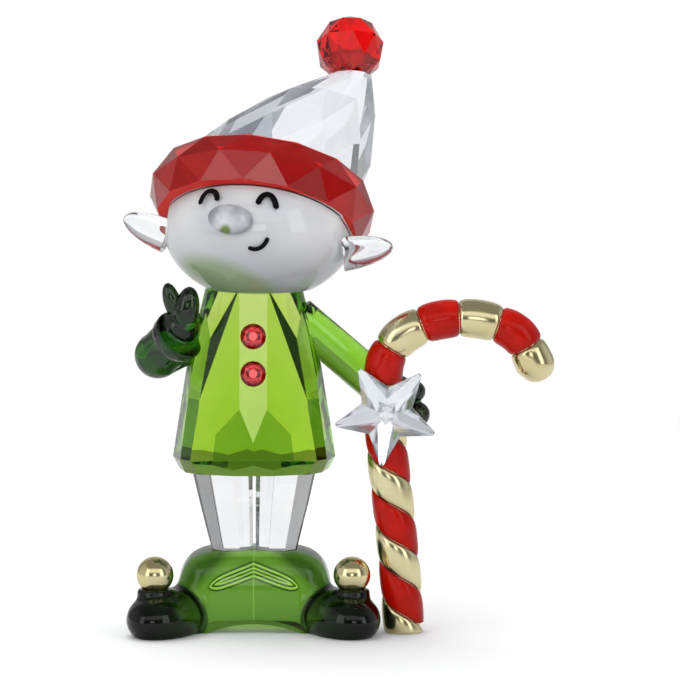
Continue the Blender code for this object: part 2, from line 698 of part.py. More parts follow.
def shaft_profile():
    """Return the phases and radii round one section of the twisted shaft."""
    profile = []
    for index in range(GOLD_STEPS + 1):
        share = index / GOLD_STEPS
        profile.append((GOLD_SHARE * share, bulge(share, CANE_RADIUS - RIM_DEPTH, CANE_RADIUS)))
    floor = CANE_RADIUS - FIELD_DEPTH
    for index in range(FIELD_STEPS + 1):
        share = index / FIELD_STEPS
        phase = GOLD_SHARE + 0.004 + (1 - GOLD_SHARE - 0.008) * share
        profile.append((phase, floor))
    return profile


def hook_bands():
    """Return the start and end of each enamel band on the hook."""
    return [
        (HOOK_FIRST + index * (BAND_LENGTH + BAND_GAP), HOOK_FIRST + index * (BAND_LENGTH + BAND_GAP) + BAND_LENGTH)
        for index in range(BAND_COUNT)
    ]


def hook_rows():
    """Return lengths and radii along the hook: gold rings, sunk fields between them and a round end."""
    rows = []
    floor = HOOK_RADIUS - FIELD_DEPTH
    rim = HOOK_RADIUS - RIM_DEPTH
    ends = [TWIST_END + 0.8]
    for start, end in hook_bands():
        ends += [start, end]
    ends.append(CANE_LENGTH)
    for index, (start, end) in enumerate(zip(ends, ends[1:])):
        length = end - start
        last = index == len(ends) - 2
        if index % 2:
            rows += [(start + 0.02, floor), (start + length / 2, floor), (end - 0.02, floor)]
            continue
        for step in range(9):
            share = step / 8
            radius = bulge(share, rim, HOOK_RADIUS)
            if last:
                radius = HOOK_RADIUS * math.sqrt(max(0.02, 1 - max(0.0, share * 1.9 - 0.9) ** 2))
            rows.append((start + length * share, radius))
    return rows


def build_cane():
    """Gold casting, its enamel and the star."""
    profile = shaft_profile()
    sections = []
    for station in cane_stations(0, TWIST_END):
        sections.append([cane_point(station, twist(station, phase), radius) for phase, radius in profile])
    for station, radius in hook_rows():
        sections.append([cane_point(station, twist(TWIST_END, phase), radius) for phase, _ in profile])
    cane = loft(sections)
    cut(cane, (0, 0, 0), (0, 0, -1))
    add_solid("candy_cane", cane, GOLD, 0.1, 1.0, smooth=40)
    gap = ENAMEL_CLEARANCE
    phase_gap = gap / TWIST_PITCH
    first = GOLD_SHARE + 0.004 + phase_gap
    last = 1 - 0.004 - phase_gap
    inner = CANE_RADIUS - FIELD_DEPTH + gap
    sections = []
    for station in cane_stations(0, TWIST_END)[SPIRAL_SKIP:-1]:
        outer = []
        under = []
        for index in range(FIELD_STEPS + 1):
            share = index / FIELD_STEPS
            angle = twist(station, first + (last - first) * share)
            outer.append(cane_point(station, angle, bulge(share, CANE_RADIUS - RIM_DEPTH, CANE_RADIUS)))
            under.append(cane_point(station, angle, inner))
        sections.append(outer + under[::-1])
    add_solid("enamel_spiral", loft(sections), RED_ENAMEL, 0.08, smooth=40)
    inner = HOOK_RADIUS - FIELD_DEPTH + gap
    for number, (start, end) in enumerate(hook_bands(), 1):
        start += gap + 0.02
        end -= gap + 0.02
        rows = []
        for step in range(9):
            share = step / 8
            rows.append(cane_ring(start + (end - start) * share, bulge(share, HOOK_RADIUS - RIM_DEPTH, HOOK_RADIUS)))
        for share in (1.0, 0.5, 0.0):
            rows.append(cane_ring(start + (end - start) * share, inner))
        add_solid(f"enamel_band_{number}", loft(rows, closed=True), RED_ENAMEL, 0.08, smooth=40)


def build_star():
    """Five-pointed stone with a flat back, a girdle and ridges to one apex."""
    star = bmesh.new()
    bmesh.ops.create_cone(star, cap_ends=True, segments=10, radius1=STAR_RADIUS, radius2=0, depth=STAR_CROWN)
    bmesh.ops.translate(star, vec=(0, 0, STAR_CROWN / 2 + STAR_GIRDLE), verts=star.verts)
    rim = [vert for vert in star.verts if vert.co.to_2d().length > STAR_RADIUS / 2]
    rim.sort(key=lambda vert: math.atan2(vert.co.y, vert.co.x))
    for vert in rim[1::2]:
        vert.co.xy *= STAR_INNER_RADIUS / STAR_RADIUS
    back = max(star.faces, key=lambda face: len(face.verts))
    grown = bmesh.ops.extrude_face_region(star, geom=[back])
    lower = [item for item in grown["geom"] if isinstance(item, bmesh.types.BMVert)]
    bmesh.ops.translate(star, vec=(0, 0, -STAR_GIRDLE), verts=lower)
    bmesh.ops.delete(star, geom=[back], context="FACES")
    point = math.atan2(rim[0].co.y, rim[0].co.x)
    for index in range(5):
        angle = point + 2 * math.pi * index / 5
        normal = Vector((math.cos(angle), math.sin(angle), 0))
        cut(star, normal * (STAR_RADIUS - STAR_TIP_FLAT), normal)
    turn = Matrix.Rotation(math.radians(STAR_TURN) - point, 4, "Z")
    bmesh.ops.transform(star, matrix=turn, verts=star.verts)
    stone = add_solid("star", star, CLEAR)
    stone.location = Vector((STAR_X, CANE_Y - CANE_RADIUS - GLUE, STAR_Z)) * MM
    stone.rotation_euler = (math.radians(90), 0, 0)


def main():
    """Build the figurine from the ground up."""
    build_shoes()
    build_legs()
    build_coat()
    hat = build_hat()
    build_head(hat)
    build_face()
    build_arms()
    build_cane()
    build_star()


main()
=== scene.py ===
"""Cut-crystal elf with a candy cane, dressed for the studio around its CAD frame.

Sizes are in millimetres and are turned into metres as each mesh is written.
+X is the viewer's right, the elf looks along -Y, and +Z is up.
Left and right in the names are the elf's own.
"""

from __future__ import annotations

import json
import logging
import math
from dataclasses import dataclass
from enum import Enum
from typing import Any, Iterable, Sequence

import bmesh
import bpy
from mathutils import Matrix, Vector

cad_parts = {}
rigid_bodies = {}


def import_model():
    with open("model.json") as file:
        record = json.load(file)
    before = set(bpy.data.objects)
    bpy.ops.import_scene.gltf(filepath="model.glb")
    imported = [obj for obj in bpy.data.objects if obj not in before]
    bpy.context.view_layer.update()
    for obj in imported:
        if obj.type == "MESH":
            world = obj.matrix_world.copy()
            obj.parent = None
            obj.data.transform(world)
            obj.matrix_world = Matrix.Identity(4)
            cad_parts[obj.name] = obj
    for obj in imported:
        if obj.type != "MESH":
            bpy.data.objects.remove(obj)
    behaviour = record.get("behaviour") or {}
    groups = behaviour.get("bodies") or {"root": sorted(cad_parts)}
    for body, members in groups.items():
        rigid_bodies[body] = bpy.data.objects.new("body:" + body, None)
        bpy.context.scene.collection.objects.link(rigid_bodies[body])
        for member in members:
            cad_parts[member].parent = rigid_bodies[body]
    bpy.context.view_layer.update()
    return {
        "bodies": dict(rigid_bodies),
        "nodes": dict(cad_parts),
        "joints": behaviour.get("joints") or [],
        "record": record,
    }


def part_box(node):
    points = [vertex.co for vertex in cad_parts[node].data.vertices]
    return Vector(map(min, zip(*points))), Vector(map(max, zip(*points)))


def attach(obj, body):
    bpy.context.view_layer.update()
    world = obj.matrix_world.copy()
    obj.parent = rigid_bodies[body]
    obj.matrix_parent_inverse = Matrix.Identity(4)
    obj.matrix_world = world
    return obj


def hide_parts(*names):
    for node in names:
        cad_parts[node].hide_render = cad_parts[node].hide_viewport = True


LOG = logging.getLogger("elf")

MM = 0.001
GLUE = 0.1
PHOTO_PIXELS = 680
# Angle in degrees within which a facet takes a listed painted shade.
PAINTED_SHADE_REACH = 1.6
FACET_TONE = "facet_tone"
FACET_ANGLE = 0.5
WELD = 1e-7
TINY = 1e-5
SIDES = ((-1, "right"), (1, "left"))
UP = Vector((0, 0, 1))
BACK = Vector((0, 1, 0))

Tree = bpy.types.NodeTree
Node = bpy.types.Node
Socket = bpy.types.NodeSocket
Piece = bpy.types.Object
Mesh = bmesh.types.BMesh
Rgba = tuple[float, float, float, float]
Triple = tuple[float, float, float]
Curve = tuple[tuple[float, float], ...]

COLOUR = {"data_type": "RGBA"}
MULTIPLIED = {"data_type": "RGBA", "blend_type": "MULTIPLY"}
SOFT = {"interpolation_type": "SMOOTHSTEP"}


def linear(code: str) -> Rgba:
    """Turn a colour from sRGB hex to linear light.

    Args:
        code: six hex digits.

    Returns:
        Red, green, blue and an alpha of 1.
    """
    values = [int(code[place : place + 2], 16) / 255 for place in (0, 2, 4)]
    red, green, blue = (v / 12.92 if v <= 0.04045 else ((v + 0.055) / 1.055) ** 2.4 for v in values)
    return red, green, blue, 1.0


def grey(level: float) -> Rgba:
    """Return a level of white light as a colour."""
    return level, level, level, 1.0


def add_node(
    tree: Tree, kind: str, inputs: Any = (), stops: Sequence[tuple[float, Rgba]] = (), **settings: Any
) -> Node:
    """Add a shader node with its settings, plain values and links.

    Args:
        tree: node tree that gets the node.
        kind: Blender's type name of the node, without ShaderNode.
        inputs: plain values and links, by input name or in the order of the live inputs. A node
            stands for its first live output.
        stops: place and colour of each stop, for a colour ramp.
        **settings: attributes of the node.

    Returns:
        The new node.
    """
    node = tree.nodes.new("ShaderNode" + kind)
    for name, value in settings.items():
        setattr(node, name, value)
    if stops:
        elements = node.color_ramp.elements
        while len(elements) < len(stops):
            elements.new(1.0)
        for element, (place, colour) in zip(elements, stops):
            element.position, element.color = place, colour
    live = [socket for socket in node.inputs if socket.enabled]
    for key, value in inputs.items() if isinstance(inputs, dict) else enumerate(inputs):
        socket = live[key] if isinstance(key, int) else node.inputs[key]
        if isinstance(value, Node):
            value = next(output for output in value.outputs if output.enabled)
        if isinstance(value, Socket):
            tree.links.new(value, socket)
        else:
            socket.default_value = value
    return node


def blank_material(name: str) -> tuple[bpy.types.Material, Tree]:
    """Make a material with an empty tree.

    Args:
        name: the material's name.

    Returns:
        The material and its tree.
    """
    material = bpy.data.materials.new(name)
    material.use_nodes = True
    material.node_tree.nodes.clear()
    return material, material.node_tree


def patches(
    tree: Tree, place: Socket, size_mm: float, detail: float, stops: Sequence[tuple[float, str]]
) -> tuple[Node, Node]:
    """Add soft patches that run from one colour to another.

    Args:
        tree: the material's tree.
        place: the place on the object.
        size_mm: how wide a patch is.
        detail: how much finer noise is in it.
        stops: level and hex of each colour.

    Returns:
        The noise that lays the patches, and their colour.
    """
    noise = add_node(tree, "TexNoise", {"Vector": place, "Scale": 1 / (size_mm * MM), "Detail": detail})
    colours = [(level, linear(code)) for level, code in stops]
    return noise, add_node(tree, "ValToRGB", [noise], colours)


def facing(azimuth: float, lean: float) -> Vector:
    """Return the direction of a facet: azimuth from the front to +X, lean upwards, in degrees."""
    around, up = math.radians(azimuth), math.radians(lean)
    return Vector((math.sin(around) * math.cos(up), -math.cos(around) * math.cos(up), math.sin(up)))


@dataclass(frozen=True)
class BaseFinish:
    """What all finishes share: a name, one shader, and perhaps a volume inside."""

    name: str

    def surface(self, tree: Tree, place: Socket) -> dict[str, Any]:
        """Return the shader's inputs, which each kind of finish makes in its own way."""
        raise NotImplementedError

    def inside(self, tree: Tree) -> list[Node]:
        """Return the volume's node, where there is one."""
        return []

    def material(self) -> bpy.types.Material:
        """Build the material.

        Returns:
            The material.
        """
        material, tree = blank_material(self.name)
        place = add_node(tree, "TexCoord").outputs["Object"]
        shader = add_node(tree, "BsdfPrincipled", self.surface(tree, place))
        add_node(tree, "OutputMaterial", [shader, *self.inside(tree)])
        return material


@dataclass(frozen=True)
class Crystal(BaseFinish):
    """Lead crystal, pressed or cut and then polished with tin oxide.

    The cut faces are mirror-flat, and colour comes from the metal oxides all through the glass, so a
    thick place or a long path of light is darker than a thin one. Faint striae are the only texture of
    the glass; some crystals also get painted shade on the facets that look listed ways.
    """

    clear_hex: str
    striae_hex: str
    absorb_hex: str
    absorb_per_m: float
    ior: float = 1.56
    roughness: float = 0.0
    striae_mm: float = 4.0
    facet_depth: float = 0.0
    deep: tuple[float, float, str] | None = None
    deep_axis: str = "X"
    mirrored: bool = True
    # Painted shade: azimuth, lean and colour of each facet direction that takes it.
    tones_and_painted_shades: tuple[tuple[float, float, str], ...] = ()

    def add_painted_shading(self, tree: Tree, place: Socket, colour: Node) -> Node:
        """Paint shade on the facets that look one way, alike on the left and the right where mirrored.

        Args:
            tree: the material's tree.
            place: the place on the object; not used here.
            colour: the colour of the rest.

        Returns:
            The colour with the painted facet shade.
        """
        if not self.tones_and_painted_shades:
            return colour
        normal = add_node(tree, "NewGeometry").outputs["True Normal"]
        x, y, z = add_node(tree, "SeparateXYZ", [normal]).outputs
        across = add_node(tree, "Math", [x], operation="ABSOLUTE") if self.mirrored else x
        folded = add_node(tree, "CombineXYZ", [across, y, z])
        least = math.cos(math.radians(PAINTED_SHADE_REACH))
        # Painted shade: a facet that looks a listed way takes that colour.
        for azimuth, lean, code in self.tones_and_painted_shades:
            looks = [folded, facing(azimuth, lean)]
            likeness = add_node(tree, "VectorMath", looks, operation="DOT_PRODUCT")
            same = add_node(tree, "Math", [likeness, least], operation="GREATER_THAN")
            colour = add_node(tree, "Mix", [same, colour, linear(code)], **COLOUR)
        return colour

    def surface(self, tree: Tree, place: Socket) -> dict[str, Any]:
        """Make the glass: striae, a tone for each facet, a deeper far end, and painted light and shade.

        Args:
            tree: the material's tree.
            place: the place on the object.

        Returns:
            The shader's inputs.
        """
        stops = (0.35, self.clear_hex), (0.75, self.striae_hex)
        _, colour = patches(tree, place, self.striae_mm, 2.0, stops)
        if self.facet_depth:
            facet = add_node(tree, "Attribute", attribute_name=FACET_TONE).outputs["Fac"]
            tone = add_node(tree, "MapRange", {"Value": facet, "To Min": 1 - self.facet_depth})
            colour = add_node(tree, "Mix", [1.0, colour, tone], **MULTIPLIED)
        if self.deep:
            start, end, code = self.deep
            along = add_node(tree, "SeparateXYZ", [place]).outputs[self.deep_axis]
            beyond = add_node(tree, "MapRange", [along, start * MM, end * MM], **SOFT)
            colour = add_node(tree, "Mix", [beyond, colour, linear(code)], **COLOUR)
        return {
            "Base Color": self.add_painted_shading(tree, place, colour),
            "Transmission Weight": 1.0,
            "Roughness": self.roughness,
            "IOR": self.ior,
        }

    def inside(self, tree: Tree) -> list[Node]:
        """Return the absorption inside the glass."""
        return [add_node(tree, "VolumeAbsorption", [linear(self.absorb_hex), self.absorb_per_m])]


@dataclass(frozen=True)
class GoldPlate(BaseFinish):
    """Pale gold plating on polished cast brass.

    Barrel polishing leaves a soft orange-peel ripple about a millimetre wide, which bends the
    reflections a little, and handling leaves the plating slightly duller in patches.
    """

    name: str = "gold_plate"
    bright_hex: str = "F2E8BC"
    deep_hex: str = "E6D8A2"
    roughness: float = 0.17
    dull_spread: tuple[float, float] = (0.8, 1.3)
    ripple_mm: float = 1.6
    ripple_strength: float = 0.12
    ripple_height_mm: float = 0.05
    patch_mm: float = 5.0

    def surface(self, tree: Tree, place: Socket) -> dict[str, Any]:
        """Make the plating.

        Args:
            tree: the material's tree.
            place: the place on the object.

        Returns:
            The shader's inputs.
        """
        stops = (0.3, self.deep_hex), (0.7, self.bright_hex)
        patch, colour = patches(tree, place, self.patch_mm, 3.0, stops)
        least, most = (self.roughness * share for share in self.dull_spread)
        dull = add_node(tree, "MapRange", {"Value": patch, "To Min": least, "To Max": most})
        scale = 1 / (self.ripple_mm * MM)
        ripple = add_node(tree, "TexNoise", {"Vector": place, "Scale": scale, "Detail": 1.0})
        relief = {"Strength": self.ripple_strength, "Distance": self.ripple_height_mm * MM}
        bump = add_node(tree, "Bump", {"Height": ripple, **relief})
        return {"Base Color": colour, "Metallic": 1.0, "Roughness": dull, "Normal": bump}


@dataclass(frozen=True)
class Backing(BaseFinish):
    """Foil or matt white adhesive on a stone's flat seat, seen only through the crystal.

    It throws the light back through the cut faces, and its faint mottling is the brushed-on glue.
    """

    light_hex: str
    dark_hex: str
    metallic: float
    roughness: float
    mottle_mm: float = 3.0
    outside_hex: str = ""

    def surface(self, tree: Tree, place: Socket) -> dict[str, Any]:
        """Make the backing, with a colour of its own outside where it has one.

        Args:
            tree: the material's tree.
            place: the place on the object.

        Returns:
            The shader's inputs.
        """
        stops = (0.3, self.dark_hex), (0.7, self.light_hex)
        _, colour = patches(tree, place, self.mottle_mm, 2.0, stops)
        if self.outside_hex:
            within = add_node(tree, "NewGeometry").outputs["Backfacing"]
            colour = add_node(tree, "Mix", [within, linear(self.outside_hex), colour], **COLOUR)
        return {"Base Color": colour, "Metallic": self.metallic, "Roughness": self.roughness}


@dataclass(frozen=True)
class Pearl(BaseFinish):
    """Satin silver core inside the clear bowl, which gives the face its soft grey bands.

    It carries painted shade, darker low down, and a painted reflection of the green coat low on the elf's
    right, where the coat shines up through the bowl.
    """

    name: str = "satin_silver_core"
    silver_hex: str = "FFFFFF"
    shade_hex: str = "F0F2F6"
    # Painted reflection of the green coat; its place and reach follow below.
    coat_reflection_hex: str = "B0C69A"
    metallic: float = 0.1
    roughness: float = 0.4
    band_mm: float = 9.0
    # Painted shade, darker low down.
    low_shade_hex: str = "CFD1D8"
    low_shade_reach: tuple[float, float] = (43.0, 51.5)
    coat_reflection_point: Triple = (-4.5, -6.0, 40.5)
    coat_reflection_reach: tuple[float, float] = (6.5, 9.0)

    def surface(self, tree: Tree, place: Socket) -> dict[str, Any]:
        """Make the satin metal, with painted shade low down and a painted green reflection of the coat round
        one point.

        Args:
            tree: the material's tree.
            place: the place on the object.

        Returns:
            The shader's inputs.
        """
        stops = (0.35, self.shade_hex), (0.65, self.silver_hex)
        _, colour = patches(tree, place, self.band_mm, 1.0, stops)
        # Painted shade: darker low down.
        height = add_node(tree, "SeparateXYZ", [place]).outputs["Z"]
        start, end = self.low_shade_reach
        high = add_node(tree, "MapRange", [height, start * MM, end * MM])
        colour = add_node(tree, "Mix", [high, linear(self.low_shade_hex), colour], **COLOUR)
        # Painted reflection of the green coat round one point.
        away = add_node(tree, "VectorMath", [place, Vector(self.coat_reflection_point) * MM], operation="DISTANCE")
        start, end = self.coat_reflection_reach
        near = add_node(tree, "MapRange", [away, start * MM, end * MM, 1.0, 0.0], **SOFT)
        colour = add_node(tree, "Mix", [near, colour, linear(self.coat_reflection_hex)], **COLOUR)
        return {"Base Color": colour, "Metallic": self.metallic, "Roughness": self.roughness}


@dataclass(frozen=True)
class Enamel(BaseFinish):
    """Cold enamel, laid in wet and polished back: a hard gloss with faint clouds in its colour."""

    main_hex: str
    cloud_hex: str
    roughness: float = 0.16
    cloud_mm: float = 2.5
    specular: float = 0.22
    swell_strength: float = 0.1
    swell_height_mm: float = 0.03

    def surface(self, tree: Tree, place: Socket) -> dict[str, Any]:
        """Make the enamel.

        Args:
            tree: the material's tree.
            place: the place on the object.

        Returns:
            The shader's inputs.
        """
        stops = (0.35, self.main_hex), (0.75, self.cloud_hex)
        cloud, colour = patches(tree, place, self.cloud_mm, 4.0, stops)
        relief = {"Strength": self.swell_strength, "Distance": self.swell_height_mm * MM}
        bump = add_node(tree, "Bump", {"Height": cloud, **relief})
        return {
            "Base Color": colour,
            "Roughness": self.roughness,
            "Specular IOR Level": self.specular,
            "Normal": bump,
        }


@dataclass(frozen=True)
class ShoeCrystal(Crystal):
    """Green casting crystal, with painted light and shade in the hill and the toes.

    The front of the hill carries a painted refraction pattern: a swirl of light lines and dark gaps,
    with a light line down its middle. The toes carry painted shade, nearly black, and the outer
    shoulders a fainter one; painted light lifts the toes again under each bell.
    """

    # Painted shade in the toes, and painted light round a point under each bell.
    toe_shade_reach: tuple[float, float] = (6.7, 8.0)
    toe_shade_slope: float = 0.78
    toe_shade_waver: float = 1.6
    toe_shade_hex: str = "2C4028"
    bell_light_point: Triple = (12.0, -9.2, 5.6)
    bell_light_reach: tuple[float, float] = (1.2, 2.4)
    # Painted refraction pattern on the front of the hill, with painted light down its middle.
    refraction_front_reach: tuple[float, float] = (-4.6, -3.6)
    middle_light_reach: tuple[float, float] = (0.03, 0.1)
    middle_light_share: float = 0.45
    swirl_high: float = 8.0
    swirl_slope: float = 0.38
    swirl_half_length: float = 5.7
    swirl_half_height: float = 0.95
    swirl_power: float = 8.0
    swirl_spread: float = 0.8
    # Painted refraction pattern: shade on the rest of the front, light lines and dark gaps.
    refraction_plain_shade_hex: str = "708A4C"
    refraction_light_hex: str = "FFFFE0"
    refraction_shade_hex: str = "0A1A02"
    # Painted shade on the outer shoulders of the hill.
    shoulder_shade_slopes: tuple[float, float] = (0.7, 0.75)
    shoulder_shade_reach: tuple[float, float] = (8.4, 10.2)
    shoulder_shade_hex: str = "48603C"

    def add_painted_shading(self, tree: Tree, place: Socket, colour: Node) -> Node:
        """Add the painted refraction swirl with a light line down its middle, painted shade on the shoulders
        and in the toes, and painted light under each bell.

        Args:
            tree: the material's tree.
            place: the place on the object.
            colour: the colour of the rest.

        Returns:
            The colour with all of them.
        """
        scale = 1 / (self.striae_mm * MM)
        wave = add_node(tree, "TexNoise", {"Vector": place, "Scale": scale, "Detail": 1.0})
        known: dict[Any, Any] = {"wave": wave}
        known |= add_node(tree, "SeparateXYZ", [place]).outputs.items()
        steps = (
            ("across", "ABSOLUTE", "X"),
            ("across", "DIVIDE", "across", MM),
            ("back", "DIVIDE", "Y", MM),
            ("up", "DIVIDE", "Z", MM),
            ("middle", "MULTIPLY", "across", self.swirl_slope),
            ("middle", "SUBTRACT", self.swirl_high, "middle"),
            ("off", "SUBTRACT", "up", "middle"),
            ("off", "ABSOLUTE", "off"),
            ("off", "DIVIDE", "off", self.swirl_half_height),
            ("along", "DIVIDE", "across", self.swirl_half_length),
            ("along", "POWER", "along", self.swirl_power),
            ("ring", "ADD", "off", "along"),
            ("ring", "MULTIPLY", "ring", self.swirl_spread),
            ("toe", "MULTIPLY_ADD", "wave", self.toe_shade_waver, "across"),
            ("toe", "MULTIPLY_ADD", "up", -self.toe_shade_slope, "toe"),
            ("shoulder", "MULTIPLY", "across", self.shoulder_shade_slopes[0]),
            ("shoulder", "MULTIPLY_ADD", "up", self.shoulder_shade_slopes[1], "shoulder"),
        )
        for name, operation, *values in steps:
            values = [known.get(value, value) for value in values]
            known[name] = add_node(tree, "Math", values, operation=operation)
        # Painted refraction pattern: painted shade on the rest of the front, light lines and dark gaps between
        # them.
        plain, light, refraction_shade = linear(self.refraction_plain_shade_hex), linear(self.refraction_light_hex), linear(self.refraction_shade_hex)
        stops = (
            (0.0, refraction_shade), (0.06, refraction_shade), (0.12, light), (0.24, light), (0.31, refraction_shade), (0.45, refraction_shade),
            (0.52, light), (0.68, light), (0.75, refraction_shade), (0.86, refraction_shade), (1.0, plain),
        )
        swirl = add_node(tree, "ValToRGB", [known["ring"]], stops)
        # Painted light down the middle of the pattern.
        middle_light = add_node(tree, "MapRange", [known["across"], *self.middle_light_reach, self.middle_light_share, 0.0])
        swirl = add_node(tree, "Mix", [middle_light, swirl, light], **COLOUR)
        front = add_node(tree, "MapRange", [known["back"], *self.refraction_front_reach, 1.0, 0.0])
        colour = add_node(tree, "Mix", [front, colour, swirl], **MULTIPLIED)
        # Painted light under each bell, which lifts the toe shade there.
        folded = add_node(tree, "CombineXYZ", [known["across"], known["back"], known["up"]])
        away = add_node(tree, "VectorMath", [folded, Vector(self.bell_light_point)], operation="DISTANCE")
        outside_bell_light = add_node(tree, "MapRange", [away, *self.bell_light_reach], **SOFT)
        # Painted shade on the outer shoulders.
        shoulder = add_node(tree, "MapRange", [known["shoulder"], *self.shoulder_shade_reach], **SOFT)
        colour = add_node(tree, "Mix", [shoulder, colour, linear(self.shoulder_shade_hex)], **MULTIPLIED)
        # Painted shade in the toes, nearly black.
        toe = add_node(tree, "MapRange", [known["toe"], *self.toe_shade_reach], **SOFT)
        dark = add_node(tree, "Math", [toe, outside_bell_light], operation="MULTIPLY")
        return add_node(tree, "Mix", [dark, colour, linear(self.toe_shade_hex)], **MULTIPLIED)


class Glass(Enum):
    """The crystals of the figurine."""

    CLEAR = Crystal("clear_lead_crystal", "F6F7F9", "ECEEF2", "E8ECEE", 10.0)
    BOWL_CLEAR = Crystal("polished_clear_lead_crystal", "FFFFFF", "F8F9FC", "F0F4F6", 10.0)
    CUT_CLEAR = Crystal("cut_clear_lead_crystal", "FFFFFF", "F6F8FC", "F0F4F6", 10.0, facet_depth=0.1)
    CONE_CLEAR = Crystal(
        "long_cut_clear_lead_crystal", "F6F7FA", "ECEEF3", "E8ECEE", 10.0,
        facet_depth=0.14,
        mirrored=False,
        # Painted shade on the cone's facets that look these ways.
        tones_and_painted_shades=(
            (-47.1, 62.7, "A8ACB4"),
            (-13.6, 45.9, "8E929C"),
            (-89.9, 64.2, "B0B4BA"),
            (-13.4, 64.2, "C0C4CA"),
            (-71.4, 53.3, "B8BCC2"),
            (10.4, 46.7, "E4E6EA"),
            (31.8, 41.4, "D4D6DC"),
        ),
    )
    COAT_GREEN = Crystal(
        "lime_green_lead_crystal", "EDE6F4", "E2DEE6", "DCF120", 225.0,
        # Painted shade on the coat's facets that look these ways, some near black.
        tones_and_painted_shades=(
            (13.4, 9.2, "CFE2B4"),
            (9.4, 5.6, "7CA14F"),
            (17.4, 6.3, "D6E6B0"),
            (30.0, 14.0, "020804"),
            (48.0, 9.5, "3A6432"),
            (48.0, 14.3, "7FA86E"),
            (17.4, -27.0, "A8C88C"),
            (0.0, -27.0, "A8C88C"),
        ),
    )
    SHOE_GREEN = ShoeCrystal("bottle_green_pressed_crystal", "F4FAF4", "E2EEE0", "BFE400", 190.0, ior=1.42)
    SLEEVE_GREEN = Crystal(
        "green_pressed_crystal", "F0F8EC", "DCEAD4", "CCEC10", 640.0, deep=(14.5, 16.5, "2C3C28")
    )
    GLOVE_GREEN = Crystal(
        "dark_green_pressed_crystal", "A8C49C", "4C6C44", "98D828", 760.0,
        striae_mm=1.7, deep=(39.2, 40.8, "283820"), deep_axis="Z",
    )
    RED = Crystal("red_lead_crystal", "FFF4F2", "FFE8E4", "FF1808", 1000.0, facet_depth=0.55)
    STONE = Crystal("siam_red_flat_back_stone", "FFF0F2", "FFE4E8", "F8102A", 1300.0)


class Coating(Enum):
    """The coatings of the figurine."""

    GOLD = GoldPlate()
    FOIL = Backing("silver_foil_backing", "F4F5F8", "E6E8EC", 1.0, 0.12)
    # Painted shade low on the nose and a painted green reflection of the coat at its bottom.
    LENS_SEAT = Pearl(
        "satin_lens_seat", "DADCE0", "B4B7BD", "6C8830", 0.05, 0.5, 1.6, "C0C2C6",
        low_shade_reach=(50.6, 53.0), coat_reflection_point=(-3.2, -11.1, 51.5), coat_reflection_reach=(0.35, 0.9),
    )
    SEAT = Backing("white_adhesive_seat", "E6E8EC", "DADCE2", 0.0, 0.7)
    RED_SEAT = Backing("red_adhesive_seat", "FFE8E4", "F8DCD8", 0.0, 0.6, outside_hex="C01A10")
    # Painted shade low on the face and a painted green reflection of the coat.
    CORE = Pearl()
    RED_ENAMEL = Enamel("red_cold_enamel", "AE0E01", "960A01")
    BLACK_ENAMEL = Enamel("black_cold_enamel", "060607", "0B0B0C", 0.5, 1.0, 0.1)


Finish = Glass | Coating


def turned(degrees: float, axis: str) -> Matrix:
    """Return a rotation about an axis."""
    return Matrix.Rotation(math.radians(degrees), 4, axis)


def new_bmesh(data: bpy.types.Mesh) -> Mesh:
    """Copy a mesh.

    Args:
        data: the mesh.

    Returns:
        The copy, to be edited.
    """
    bm = bmesh.new()
    bm.from_mesh(data)
    return bm


def written(bm: Mesh, data: bpy.types.Mesh) -> None:
    """Write a bmesh to a mesh, and free it."""
    bm.to_mesh(data)
    bm.free()


def scaled(bm: Mesh, factor: float) -> None:
    """Scale a whole bmesh about the origin."""
    bmesh.ops.scale(bm, vec=(factor,) * 3, verts=bm.verts)


def scatter(normal: Vector) -> float:
    """Return a number from 0 to 1 that looks random but hangs only on a facet's direction."""
    return math.sin(normal.dot(Vector((12.9898, 78.233, 37.719)))) * 43.7585 % 1.0


def pillow(share: float, edge: float, crown: float) -> float:
    """Return the radius across a rounded band: edge at its sides and crown in its middle."""
    return edge + (crown - edge) * (1 - abs(2 * share - 1) ** 3.0) ** 0.5


def mesh_object(name: str, bm: Mesh) -> Piece:
    """Write a bmesh in millimetres as an object in metres.

    Args:
        name: the object's name.
        bm: its mesh, which is freed.

    Returns:
        The object, linked to the scene.
    """
    made = bpy.data.objects.new(name, bpy.data.meshes.new(name))
    scaled(bm, MM)
    bmesh.ops.recalc_face_normals(bm, faces=bm.faces)
    written(bm, made.data)
    bpy.context.scene.collection.objects.link(made)
    return made


def ball(
    size: Sequence[float],
    place: Sequence[float] = (0, 0, 0),
    turn: Matrix | None = None,
    segments: int = 64,
) -> Mesh:
    """Make an ellipsoid, turned and then moved.

    Args:
        size: its half sizes.
        place: its centre.
        turn: its rotation.
        segments: faces round it.

    Returns:
        The mesh.
    """
    bm = bmesh.new()
    bmesh.ops.create_uvsphere(bm, u_segments=segments, v_segments=segments // 2, radius=1.0)
    bmesh.ops.scale(bm, vec=size, verts=bm.verts)
    bmesh.ops.transform(bm, matrix=turn or Matrix(), verts=bm.verts)
    bmesh.ops.translate(bm, vec=place, verts=bm.verts)
    return bm


def rod(start: Vector, end: Vector, start_radius: float, end_radius: float, sides: int = 48) -> Mesh:
    """Make a round tapered rod.

    Args:
        start: middle of its first end.
        end: middle of its last end.
        start_radius: radius at the first end.
        end_radius: radius at the last end.
        sides: faces round it.

    Returns:
        The mesh.
    """
    bm = bmesh.new()
    along = end - start
    bmesh.ops.create_cone(
        bm, cap_ends=True, segments=sides, radius1=start_radius, radius2=end_radius, depth=along.length
    )
    bmesh.ops.rotate(bm, matrix=UP.rotation_difference(along).to_matrix(), verts=bm.verts)
    bmesh.ops.translate(bm, vec=(start + end) / 2, verts=bm.verts)
    return bm


